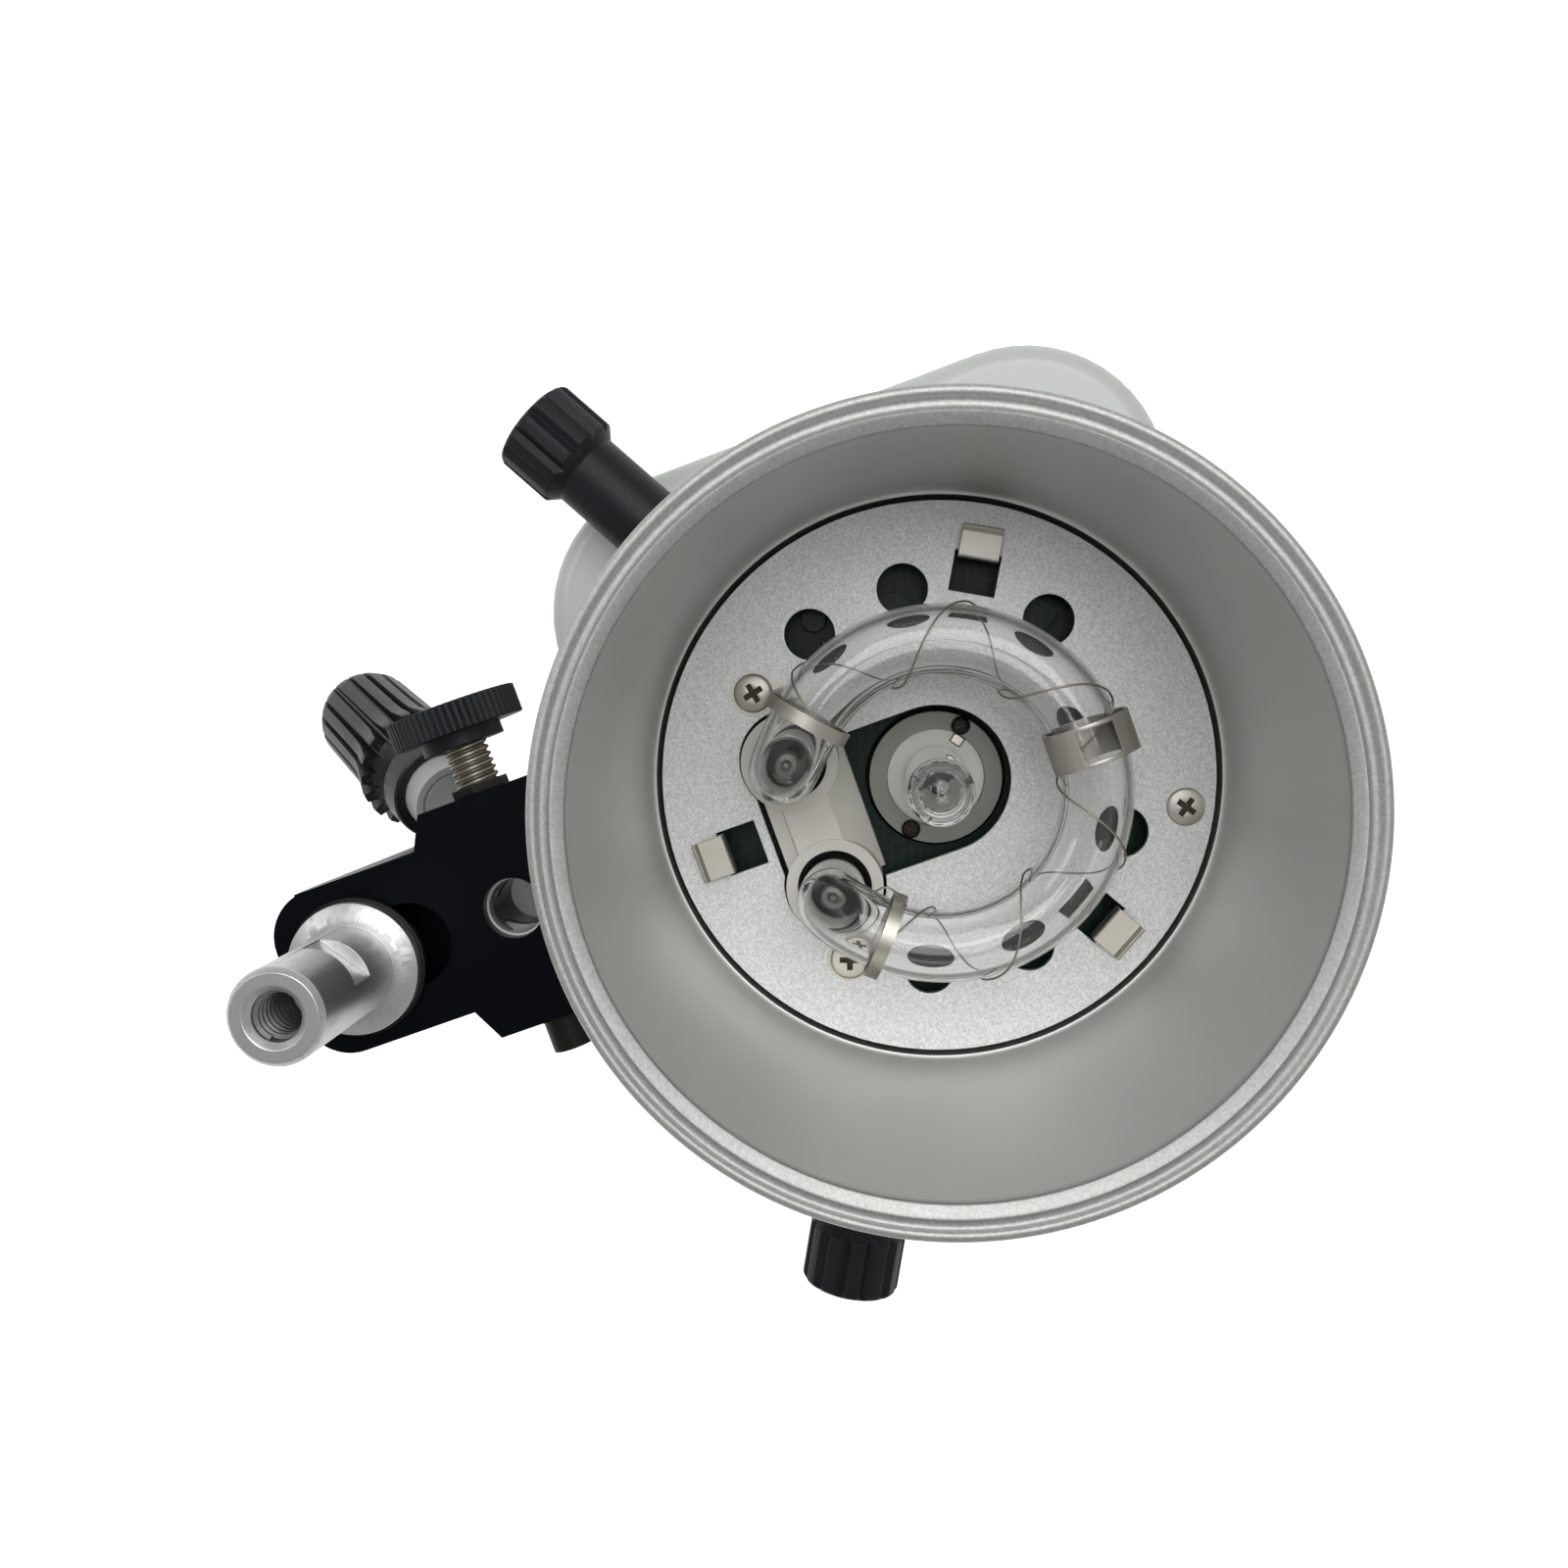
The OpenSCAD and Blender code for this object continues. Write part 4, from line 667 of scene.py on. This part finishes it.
socket_floor, tube_r, tube_wall, foot_glass = 205.6, 6.5, 1.2, 3
tube = lined(glass_route(tube_r, socket_floor), glass_route(tube_r - tube_wall, socket_floor + foot_glass))
piece("flash_tube_made", tube, "flash_tube", stands_for=["flash_tube"], hollow=True)

# %% [markdown]
# ## The ceramic socket of the tube
# Each leg stands in a round boss of ivory ceramic. A web joins the two bosses: it is flat on top,
# with a shallow round mark of the mould, and slopes down on both sides. Bosses and web are welded
# with booleans before the bores are cut, so one bevel can run round every edge. The walls deep in
# the bores are coloured near black, which is painted shade.

# %% Press the socket
socket_base, socket_top, web_top = 201.6, 213.0, 212.2


def drum(radius, z0, z1, at=(0, 0, 0), steps=72):
    return placed(spun([(0, z1), (radius, z1), (radius, z0), (0, z0)], steps), at)


def prism(outline, x0, x1):
    form = bmesh.new()
    face = form.faces.new([form.verts.new((x0 * mm, y * mm, z * mm)) for y, z in outline])
    grown = bmesh.ops.extrude_face_region(form, geom=[face])["geom"]
    bmesh.ops.translate(form, verts=only(bmesh.types.BMVert, grown), vec=((x1 - x0) * mm, 0, 0))
    bmesh.ops.recalc_face_normals(form, faces=form.faces)
    return form


leg_spots = [leg_foot(side, 0) for side in (1, -1)]
web = [(-33.8, socket_base), (-15.4, socket_base), (-15.4, 205.4), (-21.2, web_top), (-30.5, web_top),
       (-31.0, 210.4), (-33.8, 209.2)]
boss_r, mouth_r, bore_r, mark_r, mark_depth = 9.6, 7.35, 7.25, 2.7, 0.18
socket_form = prism(web, leg_spots[0].x, leg_spots[1].x)
for spot in leg_spots:
    socket_form = carved(socket_form, drum(boss_r, socket_base - 0.01, socket_top, spot), "UNION")
for spot in leg_spots:
    socket_form = carved(socket_form, drum(mouth_r, socket_top - 1.3, socket_top + 1, spot))
    socket_form = carved(socket_form, drum(bore_r, socket_floor, socket_top - 1, spot))
mark = drum(mark_r, web_top - mark_depth, web_top + 1, (0.5, -25.8, 0), 40)
socket_form = carved(socket_form, mark)
bevel(socket_form, creases(socket_form, 30), width=0.28, segments=3)
# Faces deep in the bores take the second, near-black finish, which is painted shade.
for face in socket_form.faces:
    centre = face.calc_center_median() / mm
    if centre.z < socket_top - 1.2 and min((centre - spot).xy.length for spot in leg_spots) < 7.3:
        face.material_index = 1
socket_piece = piece("tube_socket_made", socket_form, "tube_socket", stands_for=["tube_socket"])
socket_piece.data.materials.append(finishes["socket_dark"])

# %% [markdown]
# ## Inside the lamp's holder
# The bore of the grey holder is lined with paler ceramic. A long slot in it takes the lamp's base,
# and a small square hole shows a nickel contact. Both holes are straight, so the lining is a drum
# from which two blocks are cut.

# %% Line the lamp holder's bore
lining_r, lining_foot, lining_top = 9.7, 201.5, 204.1
base_slot = block((11.1, 4.6, 8), (0, 0, 203))
lining = carved(drum(lining_r, lining_foot, lining_top), base_slot)
contact_spot, contact_turn = Vector((-5.6, 6.6, 203.6)), 35
lining = carved(lining, block((2.6, 2.2, 4), contact_spot + Vector((0, 0, 1)), contact_turn))
bevel(lining, creases(lining), width=0.25)
piece("holder_lining", lining, "lamp_holder", finish="cream_ceramic")
contact = block((2.2, 1.8, 1.9), contact_spot, contact_turn)
bevel(contact, contact.edges[:], width=0.2)
piece("holder_contact", contact, "lamp_holder", finish="nickel")

# %% [markdown]
# ## The electrodes
# In each leg of the tube stands a rod with a thick head, and the flash strikes between the two. Both
# are turned parts, so one profile is spun twice and set down in the legs.

# %% Electrodes in the legs
rod = [(0, 0), (0.9, 0), (0.9, 11.6), (2.4, 11.8), (2.6, 12.2), (2.6, 17.2), (2.3, 17.7), (1.2, 17.9),
       (1.0, 18.4), (0.5, 18.9), (0, 19)]
for side, label in ((1, "left"), (-1, "right")):
    piece("electrode_" + label, placed(spun(rod, 48), leg_foot(side, socket_floor)), "tube_electrodes",
          stands_for=["tube_electrodes"] if side == 1 else ())

# %% [markdown]
# ## The trigger wire
# A fine wire runs along the ring and winds round it. It crosses the inner side of the ring and the
# outer side by turns, under the glass on the way in and over it on the way out, and no two of its
# turns are equally long. The list holds how far it has turned and how far along the ring it then is.

# %% Wind the wire
turnings = [(0, 127.3), (90, 119.9), (270, 92.2), (450, 63.1), (630, 38.7), (810, 10.4), (990, -14.7),
            (1170, -41.5), (1350, -63.9), (1530, -96.3), (1710, -115.2), (1800, -131.7)]


def along_ring(turned):
    for (t0, a0), (t1, a1) in zip(turnings, turnings[1:]):
        if turned <= t1:
            return a0 + (a1 - a0) * ((turned - t0) / (t1 - t0))
    return turnings[-1][1]


def wire_at(turned, lift=7.0):
    tilt = math.radians(90 - turned)
    outward = out_of(along_ring(turned)) * (ring_radius + lift * math.cos(tilt))
    return outward + Vector((0, 0, ring_height + lift * math.sin(tilt)))


def strand(name, points, radius, node, sides=8, stands_for=()):
    line = bpy.data.curves.new(name, "CURVE")
    line.dimensions, line.use_fill_caps = "3D", True
    line.bevel_depth, line.bevel_resolution = radius * mm, sides // 2 - 2
    spline = line.splines.new("POLY")
    spline.points.add(len(points) - 1)
    for knot, point in zip(spline.points, points):
        knot.co = (*(Vector(point) * mm), 1)
    guide = bpy.data.objects.new(name + "_guide", line)
    form = bmesh.new()
    form.from_mesh(guide.to_mesh())
    guide.to_mesh_clear()
    bpy.data.objects.remove(guide)
    bpy.data.curves.remove(line)
    piece(name, form, node, stands_for=stands_for, crisp=60)


wire_r = 0.2
wire_route = [wire_at(t) for t in range(0, turnings[-1][0] + 1, 6)]
strand("trigger_wire_made", wire_route, wire_r, "trigger_wire", stands_for=["trigger_wire"])

# %% [markdown]
# ## What holds the ring
# A nickel clip grips the ring at its far side, and two bands hold it near the legs. They are bent
# from thin strip, and the solid model already has their shape, so a very narrow bevel is enough.

# %% Clip and bands that hold the glass
soften("tube_clip", "tube_bands", width=0.1, segments=2, sharp=50)

# %% [markdown]
# ## The modelling lamp
# A halogen lamp in a clear tube: the glass is a lathe profile with its bore, the filament is a coil,
# and a pip tops the dome where the glass was sealed.

# %% Blow the bulb and coil its filament
foot_z, tip_z, bulb_r, bulb_wall, bulb_foot = 205.0, 242.5, 6.25, 0.9, 2
dome = [(math.sin(math.radians(a)), math.cos(math.radians(a))) for a in range(90, 9, -8)]


def bulb(radius, floor, tip):
    crown = tip_z - bulb_r
    round_top = [(radius * s, crown + radius * c) for s, c in dome]
    return spun([(0, floor), (radius, floor)] + round_top + tip, 96)


outer_tip = [(0.95, 242.35), (0.8, 242.7), (0.5, 242.95), (0, 243.0)]
inner_tip = [(0.45, 241.45), (0, 241.5)]
glass = lined(bulb(bulb_r, foot_z, outer_tip), bulb(bulb_r - bulb_wall, foot_z + bulb_foot, inner_tip))
piece("modelling_lamp_made", glass, "modelling_lamp", stands_for=["modelling_lamp"], hollow=True)
coil_turns, coil_steps, coil_r, coil_z, coil_pitch = 26, 14, 1.5, 214, 0.62
coil = [(coil_r * math.cos(t), coil_r * math.sin(t), coil_z + t / (2 * math.pi) * coil_pitch) for t in
        (2 * math.pi * k / coil_steps for k in range(coil_steps * coil_turns + 1))]
coil = [(2.4, 0, 207.3), (2.2, 0, 213)] + coil + [(0, 0, 231.5), (-2.6, 0, 231), (-2.6, 0, 207.3)]
strand("lamp_filament_made", coil, 0.17, "lamp_filament", sides=6, stands_for=["lamp_filament"])
base = block((10.5, 4, 7.5), (0, 0, 201.5))
bevel(base, base.edges[:], width=0.5, segments=3)
piece("modelling_lamp_base", base, "modelling_lamp", finish="ivory_ceramic")

# %% [markdown]
# ## Threads
# A thread is a ridge with a narrow flat crest that climbs while it turns. The stand spigot has a
# coarse one in its end, and the thumb screw a finer one round its shank.

# %% Cut the threads
def thread(root, crest, pitch, z0, z1, steps=40):
    form = bmesh.new()
    profile = ((root, -0.47), (crest, -0.13), (crest, 0.13), (root, 0.47))
    corners = [form.verts.new((r * mm, 0, (z0 + lift * pitch) * mm)) for r, lift in profile]
    edges = [form.edges.new(pair) for pair in zip(corners, corners[1:] + corners[:1])]
    form.faces.new(corners)
    turns = (z1 - z0) / pitch
    count = int(steps * turns)
    grown = bmesh.ops.spin(form, geom=corners + edges, cent=(0, 0, 0), axis=(0, 0, 1),
                           angle=2 * math.pi * turns, steps=count, dvec=(0, 0, (z1 - z0) / count * mm))
    form.faces.new(only(bmesh.types.BMVert, grown["geom_last"]))
    return form


inner = thread(root=4.04, crest=3.45, pitch=25.4 / 16, z0=269.5, z1=285.2)
piece("spigot_thread", placed(inner, spigot_at), "spigot", finish="thread_shade", crisp=25)
shank_r, shank_length, bore_x, bore_y, thumb_height = 3.35, 30.2, -7.2, -78.1, 240
thumb_at, thumb_way = (-12.4, bore_y, thumb_height), (-1, 0, 0)
shank = spun([(0, 0), (shank_r, 0), (shank_r, shank_length), (0, shank_length)], 40)
piece("thumb_screw_made", placed(shank, thumb_at, thumb_way), "thumb_screw", stands_for=["thumb_screw"])
outer = thread(root=3.34, crest=4.0, pitch=1.25, z0=0.7, z1=29.4)
piece("thumb_thread", placed(outer, thumb_at, thumb_way), "thumb_screw", crisp=25)

# %% [markdown]
# ## The bracket and the last edges
# The bracket is punched and folded from sheet, and its thick black paint rounds every edge, so it
# gets the broadest bevel of all. Only edges sharper than 50 degrees count, so that shallow bends stay
# as they are. Boards and small turned parts get a narrow one.

# %% Fold the bracket and break the last edges
soften("bracket", width=0.55, segments=3, sharp=50)
soften("face_board", "power_board", width=0.15)
soften("lock_screw_left", "lock_screw_right", "tilt_stud", "photocell", width=0.15)

# %% [markdown]
# ## Small things that the eye misses only when they are gone
# The wire ends in a hook beside the lower band, and a soldered eyelet stands on the board under a
# hole of the plate. A black sheet lies under the keyhole of the bracket as painted shade, so the
# keyhole looks black. A dark lining, also painted shade, fills the umbrella bore but leaves the
# thumb screw its way in, and a skirt closes the end of the tilt knob.

# %% Bend the wire's end, solder the eyelet, and put painted shade under the keyhole and in the bore
hook = [(11.7, -17.2, 246.1), (11.2, -15.4, 247.2), (11.4, -14.2, 247.6), (12.3, -13.5, 247.4),
        (13.6, -13.1, 246.6), (14.9, -12.8, 245.2), (16.2, -12.5, 243.6)]
strand("wire_hook", hook, wire_r, "trigger_wire")
eye_x, eye_y, eye_z, eye_steps = -32.4, -11.8, 204.4, 24
eyelet = [(eye_x + 1.25 * math.cos(t), eye_y + 0.35 * math.cos(t), eye_z + 1.5 * math.sin(t)) for t in
          (2 * math.pi * k / eye_steps for k in range(eye_steps + 1))]
strand("eyelet", eyelet, 0.28, "trigger_wire")
# A black sheet under the keyhole, painted shade that makes the keyhole look black.
keyhole_sheet = block((25.2, 30.4, 1.6), (-7.2, -103.9, 238.6))
upright = [e for e in keyhole_sheet.edges if abs(e.verts[0].co.z - e.verts[1].co.z) > mm]
bevel(keyhole_sheet, [e for e in upright if e.verts[0].co.y < -110 * mm], width=6, segments=6)
bevel(keyhole_sheet, creases(keyhole_sheet, 60), width=0.2)
piece("keyhole_shade_sheet", keyhole_sheet, "bracket")
# A dark lining in the umbrella bore, painted shade that makes the bore look dark.
ring = [(4.72, 229.8), (4.72, 243.4), (4.97, 243.4), (4.97, 229.8)]
screw_way = placed(drum(4.3, -12, 12, steps=48), (0, 0, thumb_height), thumb_way)
bore_shade_lining = placed(carved(spun(ring, 64, closed=True), screw_way), (bore_x, bore_y, 0))
piece("umbrella_bore_shade", bore_shade_lining, "umbrella_block", finish="control_black")
skirt = [(8.25, 5.6), (9.9, 5.6), (10.3, 6.0), (10.4, 11.5), (9.6, 12.9), (6.0, 12.9), (6.0, 11.35),
         (8.25, 11.35)]
knob_at, knob_way = (-28.2, -91.7, 213), (-0.489, -0.456, -0.743)
piece("tilt_knob_skirt", placed(spun(skirt, 72, closed=True), knob_at, knob_way), "tilt_knob")

# %% [markdown]
# ## The size stays
# The dressed lamp has to be as big as the solid model, because it stands for the same real thing.

# %% Print both boxes and finish
for label, box in (("solid", solid_box), ("visual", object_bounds())):
    print(label, "box:", [[round(c / mm, 2) for c in v] for v in box])
